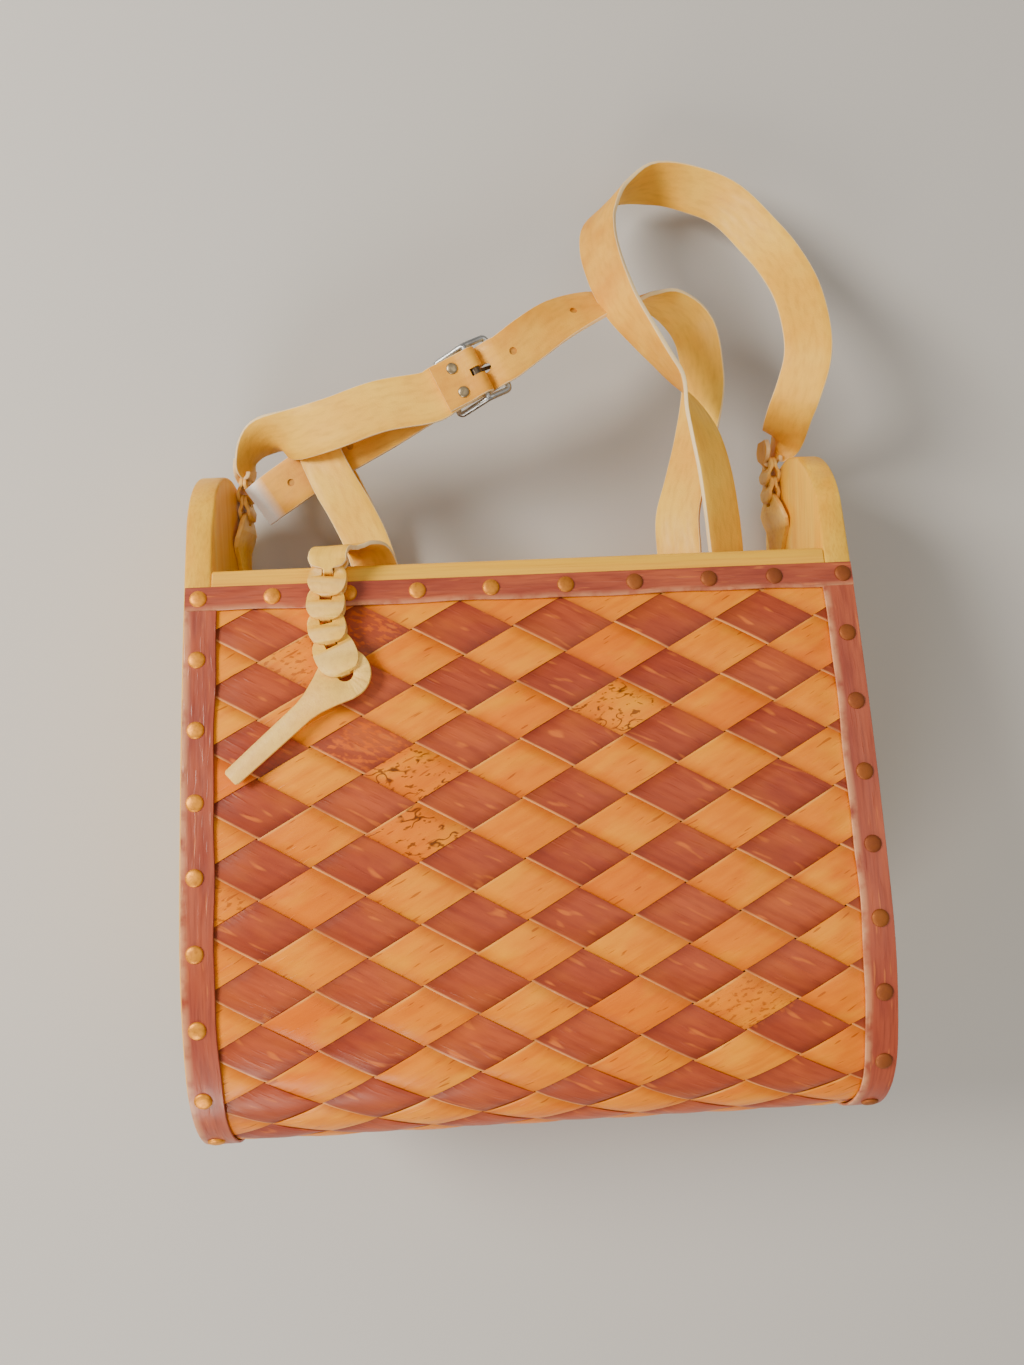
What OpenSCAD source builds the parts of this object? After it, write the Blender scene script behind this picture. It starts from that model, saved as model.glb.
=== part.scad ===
// Plaited birch bark shoulder bag with wooden gables, laid on its back.
// X runs across the bag, Y from its round base to its mouth, Z away from its back.
// Shapes are drawn with y = 0 at the mouth's front edge, and moved by mouth_y at the end.

/* [Bag] */
// Width over the two wooden gables
bag_w = 300; // [290:1:306]
// Radius of a gable's round top, half the depth at the mouth
top_r = 46; // [45:0.5:47]
// How far the middle of the round top lies above the mouth
top_rise = 3.5; // [2.5:0.5:4.5]
// Slope of the front below the mouth, in degrees
front_slope = 19.3; // [18.5:0.1:20]
// Slope of the front where the belly begins, in degrees
belly_slope = 12; // [11:0.5:13]
// Slope of the front where the round base begins, in degrees
base_slope = -6; // [-7:0.5:-5]
// Length of the nearly straight front
front_l = 177.3; // [172:0.1:182]
// Length of the belly below the straight front
belly_l = 62; // [58:1:66]
// Radius of the round base at the front
base_r = 50; // [46:1:54]

/* [Wood] */
// Thickness of a gable board
gable_t = 12; // [10:0.5:14]
// Height of the rails along the mouth
rail_h = 24; // [20:1:28]
// Thickness of the rails
rail_t = 9; // [7:0.5:11]
// Chamfer along the rails' top edges
rail_chamfer = 1.5; // [0.5:0.5:2.5]

/* [Bark] */
// Thickness of the plaited bark wall
wall_t = 2; // [1.5:0.1:2.5]
// Thickness of the bark edge bands
band_t = 1.2; // [0.8:0.1:1.4]
// Width of the band along the mouth
top_band_w = 11.2; // [9:0.1:13]
// Width of the bands that follow the gables
side_band_w = 13.8; // [12:0.1:15]
// How much rail shows above the band along the mouth
rail_show = 9; // [7:0.5:11]
// How far the bark and bands stop short of a gable's outer face
edge_gap = 1.5; // [1:0.5:2]

/* [Tacks] */
// Diameter of a tack's head
tack_d = 7.6; // [6:0.2:8]
// Height of a tack's head
tack_rise = 1.3; // [0.8:0.1:1.4]
// Length of a tack's nail
tack_l = 10; // [7:0.5:11]
// Number of tacks along the mouth
top_tacks = 10; // [8:1:12]
// Number of tacks round each gable
side_tacks = 17; // [15:1:17]
// Distance between the tacks round a gable
side_pitch = 30.9; // [28:0.1:31]
// Where the first tack round a gable lies below the mouth
side_first = 42.3; // [38:0.1:45]

/* [Leather] */
// Thickness of the straps
strap_t = 2.2; // [2:0.1:2.4]
// Thickness of a chain link's leather
link_t = 1.5; // [1.3:0.1:1.5]
// Distance from slot to slot along the closing chain
link_pitch = 10.8; // [10.5:0.1:11.5]
// Distance from slot to slot on the lowest, longer link
last_pitch = 15; // [14.8:0.1:16]
// Distance from slot to slot in the shoulder strap's short chains
end_pitch = 9.5; // [9.5:0.1:9.6]
// Thickness of the tongue
tongue_t = 2.2; // [2:0.1:2.4]
// Length of the tongue from its hole to its tip
tongue_l = 65; // [50:1:70]

/* [Buckle] */
// Diameter of the buckle's bars
bar_d = 3; // [2.6:0.1:3]
// Width of the buckle between the middles of its side rails
buckle_w = 26.8; // [26:0.1:29]

/* [Hidden] */

WOOD = [0.93, 0.76, 0.45];
BARK = [0.86, 0.50, 0.20];
BAND = [0.62, 0.33, 0.25];
BRASS = [0.86, 0.65, 0.30];
LEATHER = [0.88, 0.70, 0.42];
STEEL = [0.70, 0.72, 0.74];

// The laid-out object reaches further above the mouth than below it is long, so this
// brings the middle of its length to y = 0.
mouth_y = 29.4;
half_w = bag_w / 2;
inner_w = bag_w - 2 * gable_t;
wood_inset = wall_t + band_t;
tiny = 0.01;

// ---- The gables' outline: arcs that run into each other, in the y-z plane ----
// An arc is [radius, angle from, angle to, steps]. Angles are those of the outward
// normal, from +z towards +y.
function arc_radius(len, turn) = len / (turn * PI / 180);
function unit2(a) = [sin(a), cos(a)];
front_r = arc_radius(front_l, front_slope - belly_slope);
belly_r = arc_radius(belly_l, belly_slope - base_slope);
shaping_arcs = [
    [top_r, 180, front_slope, 24],
    [front_r, front_slope, belly_slope, 7],
    [belly_r, belly_slope, base_slope, 6],
    [base_r, base_slope, -90, 12]];
top_centre = [top_rise, top_r + tack_rise];
function arc_centre(arcs, i) = i == 0 ? top_centre
    : arc_centre(arcs, i - 1) + (arcs[i - 1][0] - arcs[i][0]) * unit2(arcs[i][1]);
heel_r = arc_centre(shaping_arcs, 3)[1] - tack_rise;
ARCS = concat(shaping_arcs, [[heel_r, -90, -180, 12]]);
CENTRES = [for (i = [0:4]) arc_centre(ARCS, i)];
function arc_point(i, a, inset) = CENTRES[i] + (ARCS[i][0] - inset) * unit2(a);
function arc_points(i, from, inset) = let (arc = ARCS[i], step = (arc[2] - arc[1]) / arc[3])
    [for (k = [0:arc[3] - 1], a = [arc[1] + k * step]) if (a < from) arc_point(i, a, inset)];

// Where the mouth's edge cuts the front arc, and the lengths of the runs below it
mouth_a = asin(-CENTRES[1][0] / front_r);
front_run = front_r * (mouth_a - belly_slope) * PI / 180;
base_run = base_r * (base_slope + 90) * PI / 180;
heel_run = heel_r * 90 * PI / 180;
heel_end = front_run + belly_l + base_run + heel_run;

// The place at a distance s below the mouth along the outline: [y, z, angle]
function front_angle(s) = mouth_a - s / front_r * 180 / PI;
function turned(i, s) = ARCS[i][1] - s / ARCS[i][0] * 180 / PI;
function place(i, a, inset) = concat(arc_point(i, a, inset), [a]);
function station(s, inset) =
    s < front_run ? place(1, front_angle(s), inset)
    : s < front_run + belly_l ? place(2, turned(2, s - front_run), inset)
    : s < front_run + belly_l + base_run ? place(3, turned(3, s - front_run - belly_l), inset)
    : s < heel_end ? place(4, turned(4, s - front_run - belly_l - base_run), inset)
    : [CENTRES[4][0] + s - heel_end, tack_rise + inset, -180];

function gable_outline(inset) =
    [for (i = [0:4]) each arc_points(i, 181, inset), arc_point(4, -180, inset)];
// A place on the front between two of the outline's points lies on the line that joins
// them, so pieces that end anywhere along it still touch face to face.
front_step = (front_slope - belly_slope) / ARCS[1][3];
function front_point(a, inset) = let (k = floor((front_slope - a) / front_step),
    above = front_slope - k * front_step, t = (above - a) / front_step)
    (1 - t) * arc_point(1, above, inset) + t * arc_point(1, above - front_step, inset);
// The outline from s below the mouth in front, round the base, to y_end on the back
function wrap(s, y_end, inset) = concat([front_point(front_angle(s), inset)],
    [for (i = [1:4]) each arc_points(i, front_angle(s) - tiny, inset)],
    [arc_point(4, -180, inset), [y_end, tack_rise + inset]]);
function reversed(list) = [for (i = [len(list) - 1:-1:0]) list[i]];
function wrapped_strip(s, y_end, outer, inner) =
    concat(wrap(s, y_end, outer), reversed(wrap(s, y_end, inner)));
// The front from s0 to s1, through the outline's own points on the way
function front_points(s0, s1, inset) = [
    front_point(front_angle(s0), inset),
    for (k = [0:ARCS[1][3]], a = [front_slope - k * front_step])
        if (a < front_angle(s0) - tiny && a > front_angle(s1) + tiny) arc_point(1, a, inset),
    front_point(front_angle(s1), inset)];

module along_x(x0, length) {
    translate([x0, 0, 0]) rotate([90, 0, 90]) linear_extrude(length) children();
}

// ---- Wood ----
module gable(x0) {
    color(WOOD) along_x(x0, gable_t) polygon(gable_outline(wood_inset));
}

module left_gable() { gable(-half_w); }
module right_gable() { gable(half_w - gable_t); }

module front_rail() {
    c = rail_chamfer;
    outer = wood_inset;
    inner = wood_inset + rail_t;
    color(WOOD) along_x(-inner_w / 2, inner_w) polygon(concat(
        [front_point(mouth_a, outer + c)], front_points(c, rail_h, outer),
        reversed(front_points(c, rail_h, inner)), [front_point(mouth_a, inner - c)]));
}

module back_rail() {
    c = rail_chamfer;
    low = tack_rise + wood_inset;
    color(WOOD) along_x(-inner_w / 2, inner_w) polygon([
        [-rail_h, low], [-c, low], [0, low + c], [0, low + rail_t - c],
        [-c, low + rail_t], [-rail_h, low + rail_t]]);
}

// ---- Bark ----
bark_w = bag_w - 2 * edge_gap;

module bark_body() {
    color(BARK) along_x(-bark_w / 2, bark_w)
        polygon(wrapped_strip(rail_show, -rail_show, band_t, wood_inset));
}

module front_top_band() {
    color(BAND) along_x(-bark_w / 2, bark_w)
        polygon(concat(front_points(rail_show, rail_show + top_band_w, 0),
            reversed(front_points(rail_show, rail_show + top_band_w, band_t))));
}

module back_top_band() {
    color(BAND) translate([-bark_w / 2, -rail_show - top_band_w, tack_rise])
        cube([bark_w, top_band_w, band_t]);
}

module side_band(x0) {
    reach = rail_show + top_band_w;
    color(BAND) along_x(x0, side_band_w) polygon(wrapped_strip(reach, -reach, 0, band_t));
}

module left_side_band() { side_band(-bark_w / 2); }
module right_side_band() { side_band(bark_w / 2 - side_band_w); }

// ---- Tacks: domed heads on round nails ----
module tack(length, head_d, rise) {
    nail_r = 0.8;
    head_r = head_d / 2;
    color(BRASS) rotate_extrude($fn = 24) polygon([
        [0, -length], [nail_r, 1.5 - length], [nail_r, 0], [head_r, 0],
        [0.95 * head_r, 0.35 * rise], [0.72 * head_r, 0.75 * rise],
        [0.4 * head_r, 0.95 * rise], [0, rise]]);
}

module tack_at(x, spot, length = tack_l, head_d = tack_d, rise = tack_rise) {
    translate([x, spot[0], spot[1]]) rotate([-spot[2], 0, 0]) tack(length, head_d, rise);
}

tack_edge = 7.4;
top_tack_s = 14.6;
top_spacing = (bag_w - 2 * tack_edge) / (top_tacks - 1);
// Each was set by eye, a little off the even spacing
top_nudge = [0, 0.5, 2.3, 0.9, 1.8, 3.4, 2.5, 4.2, 2.1, 1.6, 0, 0];
function top_tack_x(i) = tack_edge - half_w + i * top_spacing + top_nudge[i];

module front_top_tacks() {
    for (i = [0:top_tacks - 1])
        tack_at(top_tack_x(i), station(top_tack_s, 0));
}

module back_top_tacks() {
    for (i = [0:top_tacks - 1])
        tack_at(top_tack_x(i), [-top_tack_s, tack_rise, 180]);
}

module side_tacks_at(x) {
    for (i = [0:side_tacks - 1]) tack_at(x, station(side_first + i * side_pitch, 0));
}

module left_side_tacks() { side_tacks_at(tack_edge - half_w); }
module right_side_tacks() { side_tacks_at(half_w - tack_edge); }

// ---- Leather chain links ----
// A link is a leaf with a narrow waist, folded double at the waist through the next
// link's slot, so that its two broad layers hide the waist. Drawn with its fold at the
// origin, its length along +y and its faces along z. lift is half the gap at the fold,
// which holds the next piece; the two layers close to half of end_gap at the slot.
end_gap = 0.2;
link_fit = 0.3;
waist_w = 4.4;
slot_len = 5.4;
link_lift = link_t + end_gap / 2 + link_fit;
link_tail = 4.5;

function link_side(pitch, tail, lift, flat, t) = let (
    e = end_gap / 2, tip = pitch + tail, close = pitch - 1.7, f = t / 2,
    upper = [[tip, e + t], [close, e + t], [flat, lift + t], [0.3, lift + t], [-f, lift + 0.6]],
    inner = [[f, lift], [flat, lift], [close, e], [tip, e]])
    concat(upper, [for (p = reversed(upper)) [p[0], -p[1]]],
        [for (p = reversed(inner)) [p[0], -p[1]]], inner);

// A leaf's outline runs a little fuller than an ellipse
fullness = 0.8;
function fuller(c) = sign(c) * pow(abs(c), fullness);
module leaf(from, to, half_width) {
    mid = (from + to) / 2;
    reach = (to - from) / 2;
    polygon([for (a = [0:12:348])
        [half_width * fuller(cos(a)), mid + reach * fuller(sin(a))]]);
}

// The slot reaches above the fold that it holds and further below it
slot_fit = [1.45, 2.3];
strap_slot_fit = [1.9, 2.6];

module link(pitch, half_width, lift, flat, fit, tail = link_tail) {
    tip = pitch + tail;
    slab = 2 * (lift + link_t) + 1;
    wide = 2 * half_width + 2;
    color(LEATHER) difference() {
        intersection() {
            translate([-wide / 2, 0, 0]) rotate([90, 0, 90]) linear_extrude(wide)
                polygon(link_side(pitch, tail, lift, flat, link_t));
            union() {
                difference() {
                    translate([0, 0, -slab / 2]) linear_extrude(slab)
                        leaf(-link_t / 2, tip, half_width);
                    translate([-wide / 2, -2, -lift]) cube([wide, 3.2, 2 * lift]);
                }
                translate([-waist_w / 2, -link_t / 2, -slab / 2]) cube([waist_w, 4.5, slab]);
            }
        }
        translate([-slot_len / 2, pitch - fit[1], -slab / 2])
            cube([slot_len, fit[0] + fit[1], slab]);
    }
}

// ---- The closing chain, flat over the front ----
// chain_at() moves a piece drawn at the origin to v down the front from the spot
// chain_s below the mouth, and to x across it, turned so that +y points up the chain
// when heading is 0. A heading turns its lower end towards +x.
chain_s = 50;
chain_height = 3.8;
chain_slope = 15.3;
chain_spot = station(chain_s, -chain_height);
module chain_at(spot, heading) {
    translate([0, chain_spot[0], chain_spot[1]]) rotate([-chain_slope, 0, 0])
        translate([spot[0], -spot[1], 0]) rotate([0, 0, heading]) children();
}

headings = [-6, -2, 10, 24];
pitches = [link_pitch, link_pitch, link_pitch, last_pitch];
chain_top = [-84.9, -43.7];
function pivot(k) = k == 0 ? chain_top
    : pivot(k - 1) + pitches[k - 1] * [sin(headings[k - 1]), cos(headings[k - 1])];
link_half_w = 8.3;
last_half_w = 9.2;
last_lift = tongue_t / 2 + link_fit;

module chain_link(k) {
    fit = k == 1 ? strap_slot_fit : slot_fit;
    chain_at(pivot(k), headings[k - 1]) link(link_pitch, link_half_w, link_lift, 5, fit);
}

module chain_link_1() { chain_link(1); }
module chain_link_2() { chain_link(2); }
module chain_link_3() { chain_link(3); }
module chain_link_4() {
    chain_at(pivot(4), headings[3])
        link(last_pitch, last_half_w, last_lift, last_pitch - 3.8, slot_fit);
}

tongue_heading = -48.4;
tongue_head_r = 11.2;
tongue_hole_d = 7.2;

module tongue() {
    neck = 24;
    color(LEATHER) chain_at(pivot(4), tongue_heading) difference() {
        translate([0, 0, -tongue_t / 2]) linear_extrude(tongue_t) union() {
            circle(tongue_head_r, $fn = 48);
            polygon([[-11.1, -1.5], [-10.4, -5], [-7.6, -12], [-5.4, -19], [-4.6, -neck],
                [-3.9, -tongue_l + 1], [-3.1, -tongue_l], [3.1, -tongue_l],
                [3.9, -tongue_l + 1], [4.6, -neck], [5.4, -19], [7.6, -12],
                [10.4, -5], [11.1, -1.5]]);
        }
        cylinder(h = 2 * tongue_t, d = tongue_hole_d, center = true, $fn = 32);
    }
}

// ---- Straps: ribbons swept along a route ----
// A route's row is [x, y, z, the direction across the strap, half its width there].
function spline(a, b, c, d, t) = 0.5 * (2 * b + (c - a) * t
    + (2 * a - 5 * b + 4 * c - d) * t * t + (3 * b - a - 3 * c + d) * t * t * t);
function smooth(rows, steps) = let (last = len(rows) - 1) concat(
    [for (i = [0:last - 1], k = [0:steps - 1]) spline(rows[max(i - 1, 0)], rows[i],
        rows[i + 1], rows[min(i + 2, last)], k / steps)], [rows[last]]);
function xyz(row) = [row[0], row[1], row[2]];
function across(row) = [row[3], row[4], row[5]];
function unit(v) = v / norm(v);
function ring_frame(rows, i) = let (last = len(rows) - 1,
    along = unit(xyz(rows[min(i + 1, last)]) - xyz(rows[max(i - 1, 0)])),
    raw = across(rows[i]), side = unit(raw - (raw * along) * along))
    [side, cross(along, side), along];
function ring(rows, i, t) = let (f = ring_frame(rows, i), p = xyz(rows[i]),
    w = rows[i][6] * f[0], h = t / 2 * f[1]) [p - w - h, p + w - h, p + w + h, p - w + h];

module ribbon(rows, t = strap_t) {
    last = len(rows) - 1;
    points = [for (i = [0:last]) each ring(rows, i, t)];
    walls = [for (i = [0:last - 1], j = [0:3]) let (a = 4 * i + j, b = 4 * i + (j + 1) % 4)
        each [[a, a + 4, b], [b, a + 4, b + 4]]];
    ends = [[0, 1, 2], [0, 2, 3], [4 * last, 4 * last + 2, 4 * last + 1],
        [4 * last, 4 * last + 3, 4 * last + 2]];
    color(LEATHER) polyhedron(points, concat(walls, ends));
}

// A punch along z for the holes in a ribbon, whose faces are flat pieces as well
module punch(d, stretch = 0) {
    r = d / 2;
    translate([0, 0, -2 * strap_t]) linear_extrude(4 * strap_t)
        polygon([for (a = [9:18:351]) [r * cos(a) + sign(cos(a)) * stretch / 2, r * sin(a)]]);
}

// A round hole through a ribbon at ring i
module strap_hole(rows, i, d) {
    f = ring_frame(rows, i);
    p = xyz(rows[i]);
    multmatrix([[f[0][0], f[2][0], f[1][0], p[0]], [f[0][1], f[2][1], f[1][1], p[1]],
        [f[0][2], f[2][2], f[1][2], p[2]]])
        punch(d);
}

// ---- The shoulder strap's anchors on the gables ----
anchor_z = 28;
chain_x = half_w - gable_t - 3.7;
tab_slot_y = 27;
tab_foot_y = -34;
tab_t = 2.2;
tab_lift = tab_t / 2 + link_fit;

// A shield, broadest where it leaves the wood. Drawn on the left gable, with its face
// against the wood.
shield = [[-34, -6], [-6, -7], [7, -11], [13, -14.5], [17, -16], [21, -15.5], [25, -12.5],
    [29, -8], [31.5, -3], [31.5, 3], [29, 9], [25, 15.5], [21, 20.5], [17, 22], [13, 20],
    [7, 14], [-6, 7], [-34, 6]];
module strap_tab() {
    face = -half_w + gable_t;
    mid = -chain_x;
    top = tab_slot_y + link_tail;
    color(LEATHER) difference() {
        intersection() {
            translate([0, 0, anchor_z - 25]) linear_extrude(50)
                polygon([[face, tab_foot_y], [face, 12], [mid - tab_t / 2, tab_slot_y - 6],
                    [mid - tab_t / 2, top], [mid + tab_t / 2, top],
                    [mid + tab_t / 2, tab_slot_y - 6], [face + tab_t, 12],
                    [face + tab_t, tab_foot_y]]);
            translate([face - 1, 0, anchor_z]) rotate([90, 0, 90]) linear_extrude(12)
                polygon(shield);
        }
        translate([mid - 4, tab_slot_y - slot_fit[1], anchor_z - slot_len / 2])
            cube([8, slot_fit[0] + slot_fit[1], slot_len]);
    }
}

module left_strap_tab() { strap_tab(); }
module right_strap_tab() { mirror([1, 0, 0]) strap_tab(); }

module strap_tab_tacks() {
    for (side = [0, 1], y = [-26, -11])
        mirror([side, 0, 0]) translate([-half_w + gable_t + tab_t, y, anchor_z])
            rotate([0, 90, 0]) tack(8, 6.6, 1.2);
}

// Turned so that the chain runs up the gable's inner face with its faces along x
module end_link_at(y) {
    translate([-chain_x, y, anchor_z]) rotate([0, 90, 0]) children();
}

module strap_link_1() {
    end_link_at(tab_slot_y) link(end_pitch, link_half_w, tab_lift, 4.8, slot_fit, 3.9);
}
module strap_link_2() {
    end_link_at(tab_slot_y + end_pitch)
        link(end_pitch, link_half_w, link_lift, 4.4, strap_slot_fit, 3.9);
}

module left_strap_link_1() { strap_link_1(); }
module left_strap_link_2() { strap_link_2(); }
module right_strap_link_1() { mirror([1, 0, 0]) strap_link_1(); }
module right_strap_link_2() { mirror([1, 0, 0]) strap_link_2(); }

// A strap's end, folded through the second link's slot: from the short lobe over the
// fold and up the long side, which is the side towards +x at both gables.
fold_y = tab_slot_y + 2 * end_pitch;
function strap_fold(x) = let (y = fold_y, z = anchor_z) [
    [x - 3, y + 12, z, 0, 0, 1, 6.5], [x - 3, y + 8, z, 0, 0, 1, 9.2],
    [x - 3, y + 5, z, 0, 0, 1, 8.8], [x - 3, y + 2.6, z, 0, 0, 1, 6.4],
    [x - 2.8, y + 1, z, 0, 0, 1, 2.3], [x - 1.7, y, z, 0, 0, 1, 2.2],
    [x, y - 0.3, z, 0, 0, 1, 2.2], [x + 1.7, y, z, 0, 0, 1, 2.2],
    [x + 2.8, y + 1, z, 0, 0, 1, 2.3], [x + 3, y + 2.6, z + 0.2, 0, 0, 1, 6.4],
    [x + 3.1, y + 5, z + 0.6, 0, 0, 1, 9], [x + 3.6, y + 8, z + 2, 0.05, 0, 1, 10.2]];

// ---- Buckle ----
// Drawn along +x from its middle bar, with its faces along z, and turned by buckle_a
buckle_spot = [-16, 88, 70];
buckle_a = 25;
keeper_x = -15;
keeper_z = -7.7;
front_x = 11.2;
front_z = -3.5;
bar_r = bar_d / 2;
leg_w = 2.6;
module at_buckle() {
    translate(buckle_spot) rotate([0, 0, buckle_a]) children();
}
// The same move for a route's row drawn along +x
function at_buckle_row(x, z, half) = [
    buckle_spot[0] + x * cos(buckle_a), buckle_spot[1] + x * sin(buckle_a),
    buckle_spot[2] + z, -sin(buckle_a), cos(buckle_a), 0, half];

// A round bar across the buckle, and a flat side leg from its middle bar to another
module buckle_bar(x, z) {
    translate([x, 0, z]) rotate([90, 0, 0])
        cylinder(h = buckle_w + bar_d + 0.6, r = bar_r, center = true, $fn = 32);
}

module buckle_leg(x, z) {
    rotate([90, 0, 0]) rotate(atan2(z, x)) translate([0, -leg_w / 2, -bar_r])
        linear_extrude(bar_d) square([norm([x, z]), leg_w]);
}

module buckle_frame() {
    color(STEEL) at_buckle() {
        buckle_bar(0, 0);
        for (end = [[keeper_x, keeper_z], [front_x, front_z]]) {
            buckle_bar(end[0], end[1]);
            for (y = [-1, 1]) translate([0, y * buckle_w / 2, 0]) buckle_leg(end[0], end[1]);
        }
    }
}

prong_r = 0.9;
prong_eye = 2.7;
prong_fit = 0.08;
module buckle_prong() {
    root = [1.9, 0, -1.1];
    under = [front_x, 0, front_z - bar_r - prong_r - 0.35];
    along = 1.28 * (under - root);
    color(STEEL) at_buckle() difference() {
        union() {
            rotate([90, 0, 0]) cylinder(h = 3, r = prong_eye, center = true, $fn = 32);
            translate(root) rotate([0, acos(along[2] / norm(along)), 0]) {
                cylinder(h = norm(along), r = prong_r, $fn = 20);
                translate([0, 0, norm(along)]) cylinder(h = 0.9, r1 = prong_r, r2 = 0.4, $fn = 20);
            }
        }
        rotate([90, 0, 0]) cylinder(h = 4, r = bar_r + prong_fit, center = true, $fn = 32);
    }
}

rivet_x = -9.6;
rivet_y = 6;
module buckle_rivets() {
    color(STEEL) at_buckle() for (y = [-rivet_y, rivet_y]) translate([rivet_x, y, 0]) {
        translate([0, 0, -3.1]) cylinder(h = 6, d = 2, $fn = 20);
        translate([0, 0, 2.4]) rotate_extrude($fn = 24)
            polygon([[0, 0], [2.7, 0], [2.5, 0.5], [1.6, 0.9], [0, 1]]);
        translate([0, 0, -3.3]) cylinder(h = 0.6, d = 4.6, $fn = 24);
    }
}

// The short strap from the left gable to the buckle. It ends in a flap that is folded
// back over the middle bar and riveted.
module buckle_strap() {
    route = concat(strap_fold(-chain_x), [
        [-126.5, 58.5, 38, -0.35, 0, 0.94, 11.6], [-117, 64.3, 51.3, -0.45, 0.55, 0.7, 12],
        [-104, 64, 58.8, -0.35, 0.9, 0.25, 12], [-85.5, 67.3, 65, -0.25, 0.96, 0.05, 12],
        [-62, 74, 68, -0.3, 0.95, 0, 12], at_buckle_row(-26, -1.4, 12),
        at_buckle_row(-18, -1.4, 12), at_buckle_row(-8, -1.5, 11.4),
        at_buckle_row(-3.5, -2.3, 11.2), at_buckle_row(0, -2.8, 11.2),
        at_buckle_row(2.1, -1.9, 11.2), at_buckle_row(2.9, 0, 11.2),
        at_buckle_row(2.1, 1.9, 11.2), at_buckle_row(0, 2.8, 11.2),
        at_buckle_row(-3.5, 2.1, 11.2), at_buckle_row(-8, 1.2, 11.4),
        at_buckle_row(-19, 1.2, 11.4)]);
    rows = smooth(route, 3);
    difference() {
        ribbon(rows);
        at_buckle() translate([-3.4, -2, -4.5]) cube([8, 4, 9]);
        at_buckle() for (y = [-rivet_y, rivet_y]) translate([rivet_x, y, 0]) punch(2.1);
    }
}

// The long strap, from its free end under the buckle strap through the buckle, over
// and down into the bag, where it turns back, and round in a standing loop to the
// right gable. steps is the number of rings from one row to the next.
steps = 3;
free_end = [
    [-126, 32.2, 42, 0.5, -0.85, 0, 10.6], [-114.5, 39.7, 44, 0.5, -0.85, 0, 11],
    [-95.3, 51.2, 46.5, 0.45, -0.89, 0, 11], [-78, 59, 51.5, 0.42, -0.9, 0, 11],
    [-60, 67, 58, 0.4, -0.92, 0, 11], [-43, 75.5, 63.5, 0.42, -0.9, 0, 11]];
through_buckle = [for (p = [[-21, -4.9], [-13, -4.9], [-4, -5], [2, -4.8], [6.5, -2.6],
    [11.2, -0.7], [16, -0.2]])
    let (r = at_buckle_row(p[0], p[1], 11)) [r[0], r[1], r[2], -r[3], -r[4], 0, r[6]]];
// It leans over on its way to the mouth, so that its lower edge comes up
to_mouth = [
    [10, 103, 69, 0.48, -0.87, 0, 11], [25, 113, 65, 0.53, -0.8, 0.26, 11],
    [45, 122.5, 56, 0.21, -0.67, 0.71, 11], [58, 125.5, 48, 0.07, -0.34, 0.94, 11],
    [71, 127.5, 42, 0.05, 0.02, 1, 11], [84, 123.5, 40, 0.38, 0.43, 0.82, 11],
    [94, 111, 42, 0.85, 0.18, 0.5, 11], [96.5, 91, 46, 0.9, 0, 0.44, 10.6],
    [95, 76, 50, 0.88, -0.1, 0.46, 10.6], [89.5, 55.5, 56, 0.8, -0.1, 0.6, 10.8],
    [83, 35.5, 62, 0.78, -0.05, 0.62, 11], [77.5, 18, 67, 0.84, 0, 0.54, 11],
    [77, 2, 70, 0.84, 0, 0.54, 11]];
turn_in_bag = [
    [77.5, -12, 71, 0.78, 0, 0.62, 11], [79, -26, 72, 0.5, 0, 0.86, 11],
    [80, -40, 73, 0, 0, 1, 11], [80.5, -50, 73, 0, 0, 1, 11], [83.5, -57, 73, 0, 0, 1, 11],
    [90, -60, 73, 0, 0, 1, 11], [96.5, -57, 73, 0, 0, 1, 11], [99.5, -50, 73, 0, 0, 1, 11],
    [100, -40, 73, 0, 0, 1, 11], [100, -26, 74, -0.5, 0, 0.86, 11],
    [99, -12, 75.5, -0.78, 0, 0.62, 11]];
standing_loop = [
    [98, 2, 76, -0.84, 0, 0.54, 11], [96.5, 19, 76, -0.84, 0, 0.54, 11],
    [94, 37.5, 76, -0.8, -0.15, 0.58, 11], [90, 54, 76, -0.7, -0.25, 0.67, 11],
    [84, 68, 76.5, -0.43, -0.25, 0.87, 11], [77.5, 79.5, 78, -0.05, 0, 1, 11],
    [70, 89, 80, 0.1, 0.08, 0.99, 11], [62.5, 100, 79, 0.24, 0.18, 0.95, 11],
    [54.5, 114, 74, 0.42, 0.22, 0.88, 11], [50.5, 126.5, 66, 0.52, 0.17, 0.84, 11],
    [48, 140, 56, 0.6, 0.1, 0.79, 11], [47, 156, 45, 0.64, 0, 0.77, 11],
    [50, 171, 35, 0.48, -0.12, 0.87, 11], [62, 186, 26, 0, 0, 1, 11],
    [81, 192, 22, -0.05, 0.68, 0.73, 11], [100.5, 187, 24, 0.32, 0.8, 0.5, 11],
    [116.5, 177.5, 28, 0.52, 0.7, 0.48, 11], [130, 158.5, 36, 0.73, 0.53, 0.43, 11],
    [137, 143.5, 45, 0.84, 0.38, 0.38, 11], [141, 124.5, 58, 0.92, 0.15, 0.36, 11],
    [142, 104, 68, 0.93, 0, 0.36, 11], [141, 89, 71, 0.93, 0, 0.36, 11],
    [138, 75, 66, 0.85, 0, 0.52, 11], [136.6, 67, 57.5, 0.8, 0, 0.6, 11],
    [137, 61.5, 48, 0.7, 0, 0.7, 11], [138, 58.3, 40, 0.45, 0, 0.9, 10.8],
    [138.2, 56.3, 34, 0.2, 0, 0.98, 10.6]];
free_rows = len(free_end) + len(through_buckle);

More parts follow.
